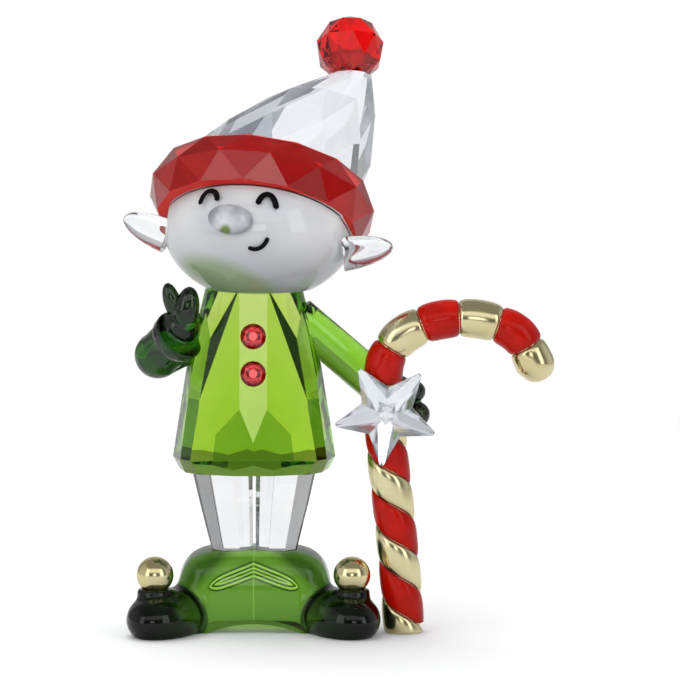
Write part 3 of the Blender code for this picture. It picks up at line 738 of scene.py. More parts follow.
def cut(bm: Mesh, point: Sequence[float], normal: Sequence[float]) -> None:
    """Cut away what lies beyond a plane, and close the cut.

    Args:
        bm: the mesh.
        point: a point of the plane.
        normal: the side that goes.
    """
    geometry = bm.verts[:] + bm.edges[:] + bm.faces[:]
    result = bmesh.ops.bisect_plane(
        bm, geom=geometry, dist=TINY, plane_co=point, plane_no=normal, clear_outer=True
    )
    edges = [item for item in result["geom_cut"] if isinstance(item, bmesh.types.BMEdge)]
    if edges:
        bmesh.ops.contextual_create(bm, geom=edges)


def loft(sections: Sequence[Sequence[Vector]], closed: bool = False) -> Mesh:
    """Skin equal rows of points.

    Args:
        sections: the rows, each a closed loop.
        closed: join the last row to the first instead of capping both.

    Returns:
        The mesh.
    """
    bm = bmesh.new()
    rows = [[bm.verts.new(point) for point in section] for section in sections]
    for first, second in zip(rows, rows[1:] + rows[:1] if closed else rows[1:]):
        for index, (a, b) in enumerate(zip(first, second), 1 - len(first)):
            bm.faces.new((a, first[index], second[index], b))
    if not closed:
        bm.faces.new(rows[0][::-1])
        bm.faces.new(rows[-1])
    return bm


def joined(parts: Iterable[Mesh]) -> Mesh:
    """Put several meshes into one.

    Args:
        parts: the meshes, which are freed.

    Returns:
        The mesh of them all.
    """
    whole = bmesh.new()
    for part in parts:
        mesh = bpy.data.meshes.new("part")
        written(part, mesh)
        whole.from_mesh(mesh)
        bpy.data.meshes.remove(mesh)
    return whole


def modified(piece: Piece, kind: str, **settings: Any) -> None:
    """Run a modifier on a piece.

    Args:
        piece: the piece, whose mesh is replaced.
        kind: Blender's type name of the modifier.
        **settings: attributes of the modifier.
    """
    modifier = piece.modifiers.new(kind.lower(), kind)
    for name, value in settings.items():
        setattr(modifier, name, value)
    graph = bpy.context.evaluated_depsgraph_get()
    mesh = bpy.data.meshes.new_from_object(piece.evaluated_get(graph))
    piece.modifiers.clear()
    piece.data = mesh


def melt(piece: Piece, voxel_mm: float, passes: int) -> None:
    """Run overlapping shapes together into one cast skin with soft inside corners.

    Args:
        piece: the object with the shapes.
        voxel_mm: size of the skin's faces.
        passes: how often the skin is smoothed.
    """
    modified(piece, "REMESH", mode="VOXEL", voxel_size=voxel_mm * MM)
    modified(piece, "SMOOTH", factor=0.5, iterations=passes)


def carve(piece: Piece, tool: Piece) -> None:
    """Cut a tool's shape out of a piece, and drop the tool."""
    modified(piece, "BOOLEAN", operation="DIFFERENCE", solver="EXACT", object=tool)
    bpy.data.objects.remove(tool)


def trim(piece: Piece, point: Sequence[float], normal: Sequence[float]) -> None:
    """Cut a finished piece flat, with the plane in millimetres.

    Args:
        piece: the piece.
        point: a point of the plane.
        normal: the side that goes.
    """
    bm = new_bmesh(piece.data)
    cut(bm, Vector(point) * MM, normal)
    written(bm, piece.data)


class Workshop:
    """Makes the materials once, writes the meshes and puts each piece on the frame."""

    def __init__(self, nodes: dict[str, Piece]) -> None:
        """Keep the CAD nodes and start with no materials."""
        self.nodes = nodes
        self.materials: dict[Finish, bpy.types.Material] = {}

    def material(self, finish: Finish) -> bpy.types.Material:
        """Find a finish's material, which is made on its first use.

        Args:
            finish: the finish.

        Returns:
            The material.
        """
        if finish not in self.materials:
            self.materials[finish] = finish.value.material()
        return self.materials[finish]

    def dress(self, name: str, finish: Finish) -> None:
        """Give a CAD node, whose shape stays, its finish.

        Args:
            name: the node.
            finish: its finish.
        """
        for slot in self.nodes[name].material_slots:
            slot.material = self.material(finish)
        LOG.info("%s: CAD shape in %s", name, finish.name.lower())

    def cad_copy(self, node: str) -> Mesh:
        """Copy a CAD node's shape and weld it.

        Args:
            node: the node.

        Returns:
            The copy, in metres.
        """
        bm = new_bmesh(self.nodes[node].data)
        bmesh.ops.remove_doubles(bm, verts=bm.verts, dist=WELD)
        return bm

    def cut_stone(self, node: str, finish: Finish) -> Piece:
        """Copy a CAD node's cut shape, with a tone for each of its facets.

        Args:
            node: the node, which the copy stands for.
            finish: finish of the cut faces.

        Returns:
            The copy.
        """
        bm = self.cad_copy(node)
        scaled(bm, 1 / MM)
        bmesh.ops.dissolve_limit(bm, angle_limit=math.radians(FACET_ANGLE), verts=bm.verts, edges=bm.edges)
        piece = self.add(f"{node}_stone", bm, finish, node, FACET_ANGLE)
        tones_and_painted_shades = piece.data.attributes.new(FACET_TONE, "FLOAT", "FACE")
        for tone, face in zip(tones_and_painted_shades.data, piece.data.polygons):
            tone.value = scatter(face.normal)
        return piece

    def coat(
        self, piece: Piece, backing: Coating, towards: Vector, reach: float = 2.0, bare_rim: float = 0.0
    ) -> None:
        """Coat a piece's faces that look one way.

        Args:
            piece: the piece.
            backing: the coating.
            towards: where the coated faces look.
            reach: how far, in degrees, they may look away from it.
            bare_rim: width of the rim that stays bare, in millimetres.
        """
        least = math.cos(math.radians(reach))
        piece.data.materials.append(self.material(backing))
        bm = new_bmesh(piece.data)
        coated = [face for face in bm.faces if face.normal.dot(towards.normalized()) > least]
        if bare_rim:
            bmesh.ops.inset_region(bm, faces=coated, thickness=bare_rim * MM, use_even_offset=True)
        for face in coated:
            face.material_index = len(piece.data.materials) - 1
        written(bm, piece.data)

    def add(self, name: str, bm: Mesh, finish: Finish, node: str, smooth: float) -> Piece:
        """Write a bmesh in millimetres as a piece that stands for a CAD node.

        Args:
            name: the piece's name.
            bm: its mesh, which is freed.
            finish: its finish.
            node: the CAD node that it replaces.
            smooth: angle in degrees up to which edges are shaded round.

        Returns:
            The piece.
        """
        piece = mesh_object(name, bm)
        self.settle(piece, finish, node, smooth)
        return piece

    def settle(self, piece: Piece, finish: Finish, node: str, smooth: float) -> None:
        """Give a piece its shading, its finish and its place on the frame.

        Args:
            piece: the piece, with its final mesh.
            finish: its finish.
            node: the CAD node that it replaces.
            smooth: angle in degrees up to which edges are shaded round.
        """
        piece.data.materials.clear()
        piece.data.materials.append(self.material(finish))
        piece.data.shade_smooth()
        piece.data.set_sharp_from_angle(angle=math.radians(smooth))
        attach(piece, "root")
        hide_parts(node)
        LOG.info("%s: %d faces in %s", piece.name, len(piece.data.polygons), finish.name.lower())


@dataclass
class Hat:
    """Red brim and pompon, and the clear cone between them: flat-cut, so their CAD shapes stay."""

    lean: float = 8.0
    back: float = 34.5
    seat: float = -0.1
    ledge: float = 1.3

    def axis(self) -> Vector:
        """Return the direction in which the hat stands on the head."""
        lean, back = math.radians(self.lean), math.radians(self.back)
        return Vector((math.sin(lean), math.cos(lean) * math.sin(back), math.cos(lean) * math.cos(back)))

    def dress(self, shop: Workshop) -> None:
        """Give the hat its crystals.

        Args:
            shop: the workshop.
        """
        brim = shop.cut_stone("hat_brim", Glass.RED)
        shop.coat(brim, Coating.RED_SEAT, -self.axis())
        shop.coat(brim, Coating.SEAT, self.axis(), bare_rim=self.ledge)
        shop.coat(shop.cut_stone("hat_cone", Glass.CONE_CLEAR), Coating.SEAT, -self.axis())
        shop.cut_stone("hat_pompon", Glass.RED)


@dataclass
class Head:
    """Polished clear bowl with two ears, a nose lens and printed face lines."""

    half_width: float = 12.1
    half_depth: float = 11.8
    half_height: float = 9.25
    x: float = 0.8
    rise: float = 7.7
    turn: float = 13.0
    roll: float = 5.8
    coat_top: float = 42.8
    ear_seat: float = 11.4
    ear_forward: float = 10.0
    ear_drops: tuple[float, float] = (2.5, 2.0)
    ear_length: float = 6.5
    ear_half_height: float = 2.15
    ear_half_thickness: float = 1.25
    ear_rise: float = 14.0
    ear_sweeps: tuple[float, float] = (20.0, 32.0)
    ear_dish: float = 0.5
    ear_rim: float = 0.78
    ear_dish_fade: float = 3.0
    ear_steps: int = 40
    ear_sides: int = 48
    ear_tip: float = 0.9995
    core_depth: float = 0.4
    core_narrow: float = 0.92
    core_seat: float = 0.12
    nose_size: Triple = (2.85, 1.7, 1.87)
    nose_place: tuple[float, float] = (-3.39, 1.98)
    nose_roll: float = 8.0
    nose_coat_reach: float = 70.0
    bowl_segments: int = 144
    core_segments: int = 96
    nose_segments: int = 72
    bowl_smooth: float = 20.0
    lens_smooth: float = 40.0
    line_smooth: float = 60.0
    line_least: float = 0.01
    line_height: float = 0.1
    line_fullness: float = 0.7
    line_steps: int = 48
    line_sides: int = 8
    lines: tuple[tuple[str, float, Curve], ...] = (
        ("eye_line_right", 0.74, ((-7.24, 3.5), (-6.7, 5.75), (-4.9, 5.52), (-5.12, 4.05))),
        ("eye_line_left", 0.76, ((-0.13, 3.77), (0.4, 5.45), (2.0, 5.35), (2.18, 3.2))),
        ("mouth_line", 0.56, ((-1.28, -1.36), (-0.4, -1.9), (0.75, -1.5), (1.13, -0.15))),
    )

    @property
    def centre(self) -> Vector:
        """The middle of the bowl."""
        return Vector((self.x, 0.0, self.coat_top + GLUE + self.rise))

    def bowl(self, growth: float, segments: int) -> Mesh:
        """Return the bowl's whole ellipsoid, larger all round by growth."""
        size = [value + growth for value in (self.half_width, self.half_depth, self.half_height)]
        return ball(size, self.centre, segments=segments)

    def ear_frame(self, side: int) -> Matrix:
        """Find an ear's frame: its origin on the bowl's flat, z up and x outwards.

        Args:
            side: -1 for the right ear and 1 for the left one.

        Returns:
            The frame.
        """
        outwards = -self.turn - side * self.ear_forward + (180 if side < 0 else 0)
        seat = Matrix.Translation((self.ear_seat, 0, -self.ear_drops[side > 0]))
        return Matrix.Translation(self.centre) @ turned(self.roll, "Y") @ turned(outwards, "Z") @ seat

    def on_face(self, across: float, up: float, height: float) -> tuple[Vector, Vector]:
        """Find a point of the face.

        Args:
            across: its place from the middle, seen from the front.
            up: its height from the middle.
            height: how far the point is lifted off the face.

        Returns:
            The point, and the face's normal there.
        """
        x = across / self.half_width
        z = up / self.half_height
        y = -math.sqrt(1 - x * x - z * z)
        point = Vector((across, y * self.half_depth, up))
        normal = Vector((x / self.half_width, y / self.half_depth, z / self.half_height)).normalized()
        return self.centre + point + normal * height, normal

    def build_bowl(self, shop: Workshop, axis: Vector) -> None:
        """Make the bowl with its flats for the hat, the coat and the ears, and its core.

        Args:
            shop: the workshop.
            axis: the direction in which the hat stands.
        """
        head = self.bowl(0.0, self.bowl_segments)
        cut(head, self.centre + axis * Hat.seat, axis)
        cut(head, UP * (self.coat_top + GLUE), -UP)
        for side, _ in SIDES:
            frame = self.ear_frame(side)
            cut(head, frame.translation, frame.col[0].to_3d())
        shop.add("head_bowl", head, Glass.BOWL_CLEAR, "head", self.bowl_smooth)
        core = self.bowl(-self.core_depth, self.core_segments)
        for vert in core.verts:
            vert.co.x = self.x + (vert.co.x - self.x) * self.core_narrow
        cut(core, self.centre + axis * (Hat.seat - self.core_seat), axis)
        cut(core, UP * (self.coat_top + GLUE + self.core_seat), -UP)
        shop.add("head_core", core, Coating.CORE, "head", self.bowl_smooth)

    def build_ear(self, shop: Workshop, side: int, label: str) -> None:
        """Make one pointed ear with a dished front inside a round rim.

        Args:
            shop: the workshop.
            side: -1 for the right ear and 1 for the left one.
            label: right or left.
        """
        sections = []
        for step in range(self.ear_steps + 1):
            share = 1 - (1 - step / self.ear_steps) ** 2
            x = GLUE + (self.ear_length - GLUE) * share * self.ear_tip
            fall = math.sqrt(max(1 - (x / self.ear_length) ** 2, TINY))
            dish = self.ear_dish * fall * min(1.0, self.ear_dish_fade * (1 - share))
            section = []
            for index in range(self.ear_sides):
                angle = 2 * math.pi * index / self.ear_sides
                z = math.sin(angle)
                y = math.cos(angle) * self.ear_half_thickness * fall
                if y < 0:
                    y += dish * max(0.0, 1 - (z / self.ear_rim) ** 2) ** 2
                section.append(Vector((x, y, z * self.ear_half_height * fall)))
            sections.append(section)
        ear = loft(sections)
        frame = self.ear_frame(side)
        tilt = turned(side * self.ear_sweeps[side > 0], "Z") @ turned(-self.ear_rise, "Y")
        bmesh.ops.transform(ear, matrix=frame @ tilt @ Matrix.Diagonal((1, side, 1, 1)), verts=ear.verts)
        outwards = frame.col[0].to_3d()
        cut(ear, frame.translation + outwards * GLUE, -outwards)
        shop.add(f"ear_leaf_{label}", ear, Glass.CLEAR, f"ear_{label}", self.lens_smooth)

    def build_nose(self, shop: Workshop) -> None:
        """Make the nose lens, hollowed at the back to fit the face.

        Args:
            shop: the workshop.
        """
        place, _ = self.on_face(*self.nose_place, 0)
        lens = ball(self.nose_size, place, turned(self.nose_roll, "Y"), self.nose_segments)
        nose = mesh_object("nose_lens", lens)
        carve(nose, mesh_object("face_tool", self.bowl(GLUE, self.bowl_segments)))
        shop.settle(nose, Glass.CLEAR, "nose", self.lens_smooth)
        shop.coat(nose, Coating.LENS_SEAT, BACK, self.nose_coat_reach)

    def build_line(self, shop: Workshop, node: str, places: Sequence[Any], width: float) -> None:
        """Lay a round-ended enamel line on the face.

        Args:
            shop: the workshop.
            node: the CAD node that the line replaces.
            places: the line's middle, across and up on the face.
            width: its width.
        """
        points = [self.on_face(*place, 0)[0] for place in places]
        lengths = [0.0]
        for before, after in zip(points, points[1:]):
            lengths.append(lengths[-1] + (after - before).length)
        sections = []
        for index, place in enumerate(places):
            along = points[min(index + 1, len(points) - 1)] - points[max(index - 1, 0)]
            low, normal = self.on_face(*place, GLUE)
            inside = min(1.0, min(lengths[index], lengths[-1] - lengths[index]) / (width / 2))
            full = math.sqrt(max(1 - (1 - inside) ** 2, self.line_least))
            sideways = along.cross(normal).normalized() * (width / 2 * full)
            section = [low - sideways, low + sideways]
            for step in range(1, self.line_sides):
                angle = math.pi * step / self.line_sides
                lift = self.line_height * full * math.sin(angle) ** self.line_fullness
                section.append(low + sideways * math.cos(angle) + normal * lift)
            sections.append(section)
        shop.add(f"{node}_stroke", loft(sections), Coating.BLACK_ENAMEL, node, self.line_smooth)

    def build_lines(self, shop: Workshop) -> None:
        """Print the closed eyes and the smile along cubic Bezier curves.

        Args:
            shop: the workshop.
        """
        for node, width, curve in self.lines:
            places = []
            for index in range(self.line_steps + 1):
                share = index / self.line_steps
                rest = 1 - share
                weights = (rest**3, 3 * share * rest**2, 3 * share**2 * rest, share**3)
                spot = sum((Vector(point) * w for w, point in zip(weights, curve)), Vector((0, 0)))
                places.append(spot)
            self.build_line(shop, node, places, width)

    def build(self, shop: Workshop, axis: Vector) -> None:
        """Build the whole head.

        Args:
            shop: the workshop.
            axis: the direction in which the hat stands, which sets the flat on top.
        """
        self.build_bowl(shop, axis)
        for side, label in SIDES:
            self.build_ear(shop, side, label)
        self.build_nose(shop)
        self.build_lines(shop)


@dataclass
class CandyCane:
    """Gold casting with a twisted shaft and a ringed hook, enamelled red in its sunk fields."""

    plane_y: float = -4.3
    knots: Curve = (
        (18.9, -1.5), (18.5, 5.2), (18.0, 10.9), (17.4, 16.7), (16.8, 21.8), (16.4, 27.0), (16.2, 31.2),
        (16.6, 34.6), (18.8, 37.5), (23.1, 39.3), (28.3, 39.4), (32.7, 37.7), (35.0, 34.1), (35.7, 31.6),
    )
    radius: float = 2.62
    hook_radius: float = 2.45
    field_depth: float = 0.5
    rim_depth: float = 0.42
    clearance: float = 0.06
    pitch: float = 9.2
    twist_start: float = 0.33
    gold_share: float = 0.48
    wall_share: float = 0.004
    wall: float = 0.02
    twist_end: float = 31.2
    hook_first: float = 32.9
    band_length: float = 4.75
    band_gap: float = 4.85
    band_count: int = 3
    step: float = 0.3
    sides: int = 48
    crown_steps: int = 24
    spiral_start: float = 2.6
    spiral_short: float = 0.63
    gold_steps: int = 20
    field_steps: int = 12
    hook_start: float = 0.8
    hook_crowned: float = 0.4
    dome_slope: float = 1.9
    dome_least: float = 0.004
    smooth: float = 35.0

    def __post_init__(self) -> None:
        """Draw the middle line once, by a Catmull-Rom curve through its knots."""
        knots = [Vector((x, self.plane_y, z)) for x, z in self.knots]
        knots = [knots[0] * 2 - knots[1]] + knots + [knots[-1] * 2 - knots[-2]]
        self.line = []
        for a, b, c, d in zip(knots, knots[1:], knots[2:], knots[3:]):
            for t in (index / 16 for index in range(16)):
                bend = (2 * a - 5 * b + 4 * c - d) * t**2 + (3 * b - a - 3 * c + d) * t**3
                self.line.append((2 * b + (c - a) * t + bend) * 0.5)
        self.line.append(knots[-2])
        self.length = sum((b - a).length for a, b in zip(self.line, self.line[1:]))

    def point(self, station: float, turn: float, radius: float) -> Vector:
        """Find a point on the cane.

        Args:
            station: length along the middle line.
            turn: turns round it, from the side inside the hook, by the back.
            radius: distance from it.

        Returns:
            The point.
        """
        left = min(max(station, 0.0), self.length - 1e-6)
        for a, b in zip(self.line, self.line[1:]):
            length = (b - a).length
            if left <= length:
                break
            left -= length
        along = (b - a).normalized()
        angle = 2 * math.pi * turn
        return a + along * left + (along.cross(BACK) * math.cos(angle) + BACK * math.sin(angle)) * radius

    def ring(self, station: float, radius: float) -> list[Vector]:
        """Return the points of a plain ring on the cane."""
        return [self.point(station, index / self.sides, radius) for index in range(self.sides)]

    def stations(self, start: float, end: float) -> list[float]:
        """Return evenly spaced lengths from start to end."""
        count = max(2, round((end - start) / self.step))
        return [start + (end - start) * index / count for index in range(count + 1)]

    def twist(self, station: float, phase: float) -> float:
        """Return the angle, in turns, of a phase of the left-handed twist."""
        return self.twist_start + phase + station / self.pitch

    def crown(self, radius: float, share: float) -> float:
        """Return the radius at a share of the way across a rounded band."""
        return pillow(share, radius - self.rim_depth, radius)

    def tube(self, growth: float) -> Mesh:
        """Return the cane as a plain round tube, larger all round by growth."""
        return loft([self.ring(station, self.radius + growth) for station in self.stations(0, self.length)])

    def bands(self) -> list[tuple[float, float]]:
        """Return the start and end of each enamel band on the hook."""
        pitch = self.band_length + self.band_gap
        starts = [self.hook_first + index * pitch for index in range(self.band_count)]
        return [(start, start + self.band_length) for start in starts]

    def hook_rows(self) -> list[tuple[float, float]]:
        """List the hook's rows: gold rings, sunk fields and a round end.

        Returns:
            Length along the cane and radius of each row.
        """
        rows = []
        floor = self.hook_radius - self.field_depth
        ends = [self.twist_end + self.hook_start, *(end for band in self.bands() for end in band), self.length]
        for index, (start, end) in enumerate(zip(ends, ends[1:])):
            if index % 2:
                places = (start + self.wall, (start + end) / 2, end - self.wall)
                rows += [(place, floor) for place in places]
                continue
            for share in (step / self.crown_steps for step in range(self.crown_steps + 1)):
                radius = self.crown(self.hook_radius, share)
                if index == len(ends) - 2:
                    dome = max(0.0, 1 - self.dome_slope * (1 - share))
                    radius = radius if share < self.hook_crowned else self.hook_radius
                    radius *= math.sqrt(max(self.dome_least, 1 - dome**2))
                rows.append((start + (end - start) * share, radius))
        return rows

    def build_casting(self, shop: Workshop) -> None:
        """Make the gold casting.

        Args:
            shop: the workshop.
        """
        shares = [index / self.gold_steps for index in range(self.gold_steps + 1)]
        profile = [(self.gold_share * share, self.crown(self.radius, share)) for share in shares]
        first, last = self.gold_share + self.wall_share, 1 - self.wall_share
        for index in range(self.field_steps + 1):
            phase = first + (last - first) * index / self.field_steps
            profile.append((phase, self.radius - self.field_depth))
        sections = []
        for station in self.stations(0, self.twist_end):
            turns = [(self.twist(station, phase), radius) for phase, radius in profile]
            sections.append([self.point(station, turn, radius) for turn, radius in turns])
        turns = [self.twist(self.twist_end, phase) for phase, _ in profile]
        for station, radius in self.hook_rows():
            sections.append([self.point(station, turn, radius) for turn in turns])
        cane = loft(sections)
        cut(cane, (0, 0, 0), -UP)
        shop.add("cane_casting", cane, Coating.GOLD, "candy_cane", self.smooth)

    def build_enamel(self, shop: Workshop) -> None:
        """Fill the sunk fields of the shaft and of the hook.

        Args:
            shop: the workshop.
        """
        gap = self.clearance
        first = self.gold_share + self.wall_share + gap / self.pitch
        last = 1 - self.wall_share - gap / self.pitch
        shares = [step / self.crown_steps for step in range(self.crown_steps + 1)]
        sections = []
        for station in self.stations(self.spiral_start, self.twist_end - self.spiral_short):
            outer, under = [], []
            for share in shares:
                angle = self.twist(station, first + (last - first) * share)
                outer.append(self.point(station, angle, self.crown(self.radius, share)))
                under.append(self.point(station, angle, self.radius - self.field_depth + gap))
            sections.append(outer + under[::-1])
        shop.add("cane_enamel_spiral", loft(sections), Coating.RED_ENAMEL, "enamel_spiral", self.smooth)
        inner = self.hook_radius - self.field_depth + gap
        rows = [(share, self.crown(self.hook_radius, share)) for share in shares]
        rows += [(share, inner) for share in (1.0, 0.5, 0.0)]
        for number, (start, end) in enumerate(self.bands(), 1):
            start += gap + self.wall
            end -= gap + self.wall
            rings = [self.ring(start + (end - start) * share, radius) for share, radius in rows]
            name = f"enamel_band_{number}"
            shop.add(f"cane_{name}", loft(rings, closed=True), Coating.RED_ENAMEL, name, self.smooth)

    def build(self, shop: Workshop) -> None:
        """Build the casting and its enamel, and give the star its crystal.

        Args:
            shop: the workshop.
        """
        self.build_casting(shop)
        self.build_enamel(shop)
        shop.coat(shop.cut_stone("star", Glass.CLEAR), Coating.FOIL, BACK)


@dataclass
class Body:
    """Faceted coat with its buttons, clear legs, and two smooth cast arms."""

    shoulder: Vector = Vector((-5.0, 0.6, 37.6))
    elbow: Vector = Vector((-12.0, -1.6, 34.6))
    cuff: Vector = Vector((-9.3, -4.2, 37.4))
    shoulder_radius: float = 2.6
    elbow_radius: float = 2.9
    cuff_radius: float = 3.0
    elbow_swell: float = 1.02
    sleeve_taper: float = 0.98
    ring_reach: tuple[float, float] = (1.2, 0.25)
    ring_rise: tuple[float, float] = (0.2, 0.4)
    palm: Vector = Vector((-9.1, -3.7, 38.4))
    palm_radius: float = 2.3
    mitten: Vector = Vector((-8.25, -5.2, 40.7))
    mitten_size: Triple = (1.55, 1.5, 2.95)
    mitten_roll: float = 9.0
    thumb: Vector = Vector((-10.1, -4.3, 41.6))
    thumb_size: Triple = (1.1, 1.1, 2.5)
    thumb_roll: float = -16.0
    arm_start: Vector = Vector((5.4, 0.0, 39.4))
    wrist: Vector = Vector((15.4, 1.6, 30.6))
    arm_radius: float = 2.5
    hand: Vector = Vector((17.6, 0.5, 28.9))
    hand_size: Triple = (3.4, 1.9, 3.0)
    hand_roll: float = 40.0
    fingers: tuple[tuple[Triple, float], ...] = (((20.2, -1.6, 30.0), 1.35), ((20.5, -1.6, 27.1), 1.6))
    leg_inner: float = 1.0
    leg_close: float = 0.5
    skin_mm: float = 0.2
    glove_passes: int = 2
    hand_passes: int = 4
    smooth: float = 50.0
    tool_growth: float = 1.4
    strip_lean: float = 9.5

    def coat_tool(self, shop: Workshop) -> Piece:
        """Make a tool with the coat's shape, larger by about the glue line.

        Args:
            shop: the workshop.

        Returns:
            The tool.
        """
        bm = shop.cad_copy("coat")
        low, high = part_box("coat")
        middle = (low + high) / 2
        grow = 1 + GLUE * MM / ((high.x - low.x) / 2) * self.tool_growth
        for vert in bm.verts:
            vert.co = middle + (vert.co - middle) * grow
        scaled(bm, 1 / MM)
        return mesh_object("coat_tool", bm)

    def build_arms(self, shop: Workshop, cane: CandyCane) -> None:
        """Cast the raised right arm, and the left arm whose hand closes round the cane.

        Args:
            shop: the workshop.
            cane: the candy cane.
        """
        lip = (self.cuff - self.elbow).normalized()
        ends = (self.cuff - lip * self.ring_reach[0], self.cuff + lip * self.ring_reach[1])
        shapes = [
            rod(self.shoulder, self.elbow, self.shoulder_radius, self.elbow_radius),
            rod(self.elbow, self.cuff, self.elbow_radius * self.sleeve_taper, self.cuff_radius),
            ball((self.elbow_radius * self.elbow_swell,) * 3, self.elbow),
            rod(*ends, *(self.cuff_radius + rise for rise in self.ring_rise)),
            ball((self.palm_radius,) * 3, self.palm),
            ball(self.mitten_size, self.mitten, turned(self.mitten_roll, "Y")),
            ball(self.thumb_size, self.thumb, turned(self.thumb_roll, "Y")),
        ]
        arm = mesh_object("sleeve_and_glove_right", joined(shapes))
        melt(arm, self.skin_mm, self.glove_passes)
        carve(arm, self.coat_tool(shop))
        shop.settle(arm, Glass.GLOVE_GREEN, "arm_right", self.smooth)
        shapes = [
            rod(self.arm_start, self.wrist, self.arm_radius, self.arm_radius),
            ball(self.hand_size, self.hand, turned(self.hand_roll, "Y")),
            *(ball((radius,) * 3, place) for place, radius in self.fingers),
        ]
        arm = mesh_object("sleeve_and_glove_left", joined(shapes))
        melt(arm, self.skin_mm, self.hand_passes)
        carve(arm, self.coat_tool(shop))
        carve(arm, mesh_object("grip_tool", cane.tube(GLUE)))
        shop.settle(arm, Glass.SLEEVE_GREEN, "arm_left", self.smooth)

    def build(self, shop: Workshop, cane: CandyCane) -> None:
        """Dress the cut pieces and cast the arms.

        Args:
            shop: the workshop.
            cane: the candy cane, which the left hand holds.
        """
        shop.dress("coat", Glass.COAT_GREEN)
        for name in ("button_upper", "button_lower"):
            shop.coat(shop.cut_stone(name, Glass.STONE), Coating.FOIL, -facing(0, self.strip_lean))
        for name in ("leg_right", "leg_left"):
            leg = shop.cut_stone(name, Glass.CUT_CLEAR)
            for vert in leg.data.vertices:
                if abs(vert.co.x) < self.leg_inner * MM:
                    vert.co.x *= self.leg_close
            for towards in (-UP, UP):
                shop.coat(leg, Coating.SEAT, towards)
        self.build_arms(shop, cane)


@dataclass
class Shoes:
    """One green casting: a hill under the legs and two toes that point outwards, with bells."""

    height: float = 9.8
    hill_half_width: float = 9.8
    hill_half_depth: float = 6.2
    hill_squareness: float = 0.46
    hill_bulge: float = 1.04
    toe: Triple = (10.9, -5.7, 2.1)
    toe_size: Triple = (4.5, 6.9, 3.6)
    toe_turn: float = 28.0
    arch_height: float = 1.2
    arch_radius: float = 15.0
    arch_depth: float = 9.0
    arch_start: float = -2.0
    neck_radius: float = 2.2
    neck_flare: float = 1.15
    bell_radius: float = 2.32
    bell: Triple = (12.3, -7.0, 7.6)
    bell_sink: float = 0.2
    skin_mm: float = 0.24
    fold_passes: int = 90
    neck_passes: int = 8
    neck_rise: float = 0.5
    segments: int = 96
    arch_segments: int = 360
    smooth: float = 50.0

    def hill(self) -> Mesh:
        """Make the rounded block under the legs, before it is cut flat.

        Returns:
            The mesh.
        """
        hill = ball((1, 1, 1), segments=self.segments)
        for vert in hill.verts:
            squared = [math.copysign(abs(value) ** self.hill_squareness, value) for value in vert.co]
            vert.co = Vector(squared)
        size = (self.hill_half_width, self.hill_half_depth, self.height * self.hill_bulge)
        largest = [max(vert.co[axis] for vert in hill.verts) for axis in range(3)]
        bmesh.ops.scale(hill, vec=[want / now for want, now in zip(size, largest)], verts=hill.verts)
        return hill

    def build(self, shop: Workshop) -> None:
        """Cast the shoes and set the bells on the toes.

        Args:
            shop: the workshop.
        """
        shapes, necks = [self.hill()], []
        neck_top = self.bell[2] - self.bell_radius + self.bell_sink - GLUE
        for side, _ in SIDES:
            turn = turned(side * self.toe_turn, "Z")
            shapes.append(ball(self.toe_size, self.on_side(self.toe, side), turn, self.segments))
            foot = self.on_side((*self.bell[:2], self.toe[2]), side)
            top = self.on_side((*self.bell[:2], neck_top + self.neck_rise), side)
            necks.append(rod(foot, top, self.neck_radius * self.neck_flare, self.neck_radius))
        shoes = mesh_object("cast_shoes", joined(shapes))
        melt(shoes, self.skin_mm, self.fold_passes)
        bm = joined(necks)
        scaled(bm, MM)
        bm.from_mesh(shoes.data)
        written(bm, shoes.data)
        melt(shoes, self.skin_mm, self.neck_passes)
        end = Vector((0, self.arch_start, self.arch_height - self.arch_radius))
        far_end = end - BACK * 2 * self.arch_depth
        arch = rod(end, far_end, self.arch_radius, self.arch_radius, self.arch_segments)
        carve(shoes, mesh_object("arch_tool", arch))
        trim(shoes, UP * self.height, UP)
        trim(shoes, (0, 0, 0), -UP)
        shop.settle(shoes, Glass.SHOE_GREEN, "shoes", self.smooth)
        for side, label in SIDES:
            bell = ball((self.bell_radius,) * 3, self.on_side(self.bell, side), segments=self.segments)
            cut(bell, UP * (neck_top + GLUE), -UP)
            shop.add(f"toe_bell_{label}", bell, Coating.GOLD, f"bell_{label}", self.smooth)

    @staticmethod
    def on_side(place: Sequence[float], side: int) -> Vector:
        """Return a place of the left shoe, mirrored for the right one."""
        return Vector((side * place[0], place[1], place[2]))


@dataclass(frozen=True)
class Softbox:
    """Soft-edged window in the light tent, in degrees, with a brightness where 1 is white."""

    azimuth: float
    half_width: float
    height: float
    half_height: float
    level: float


@dataclass(frozen=True)
class Lamp:
    """Soft rectangular lamp that faces the figurine."""

    name: str
    place: Triple
    size: tuple[float, float]
    watts: float


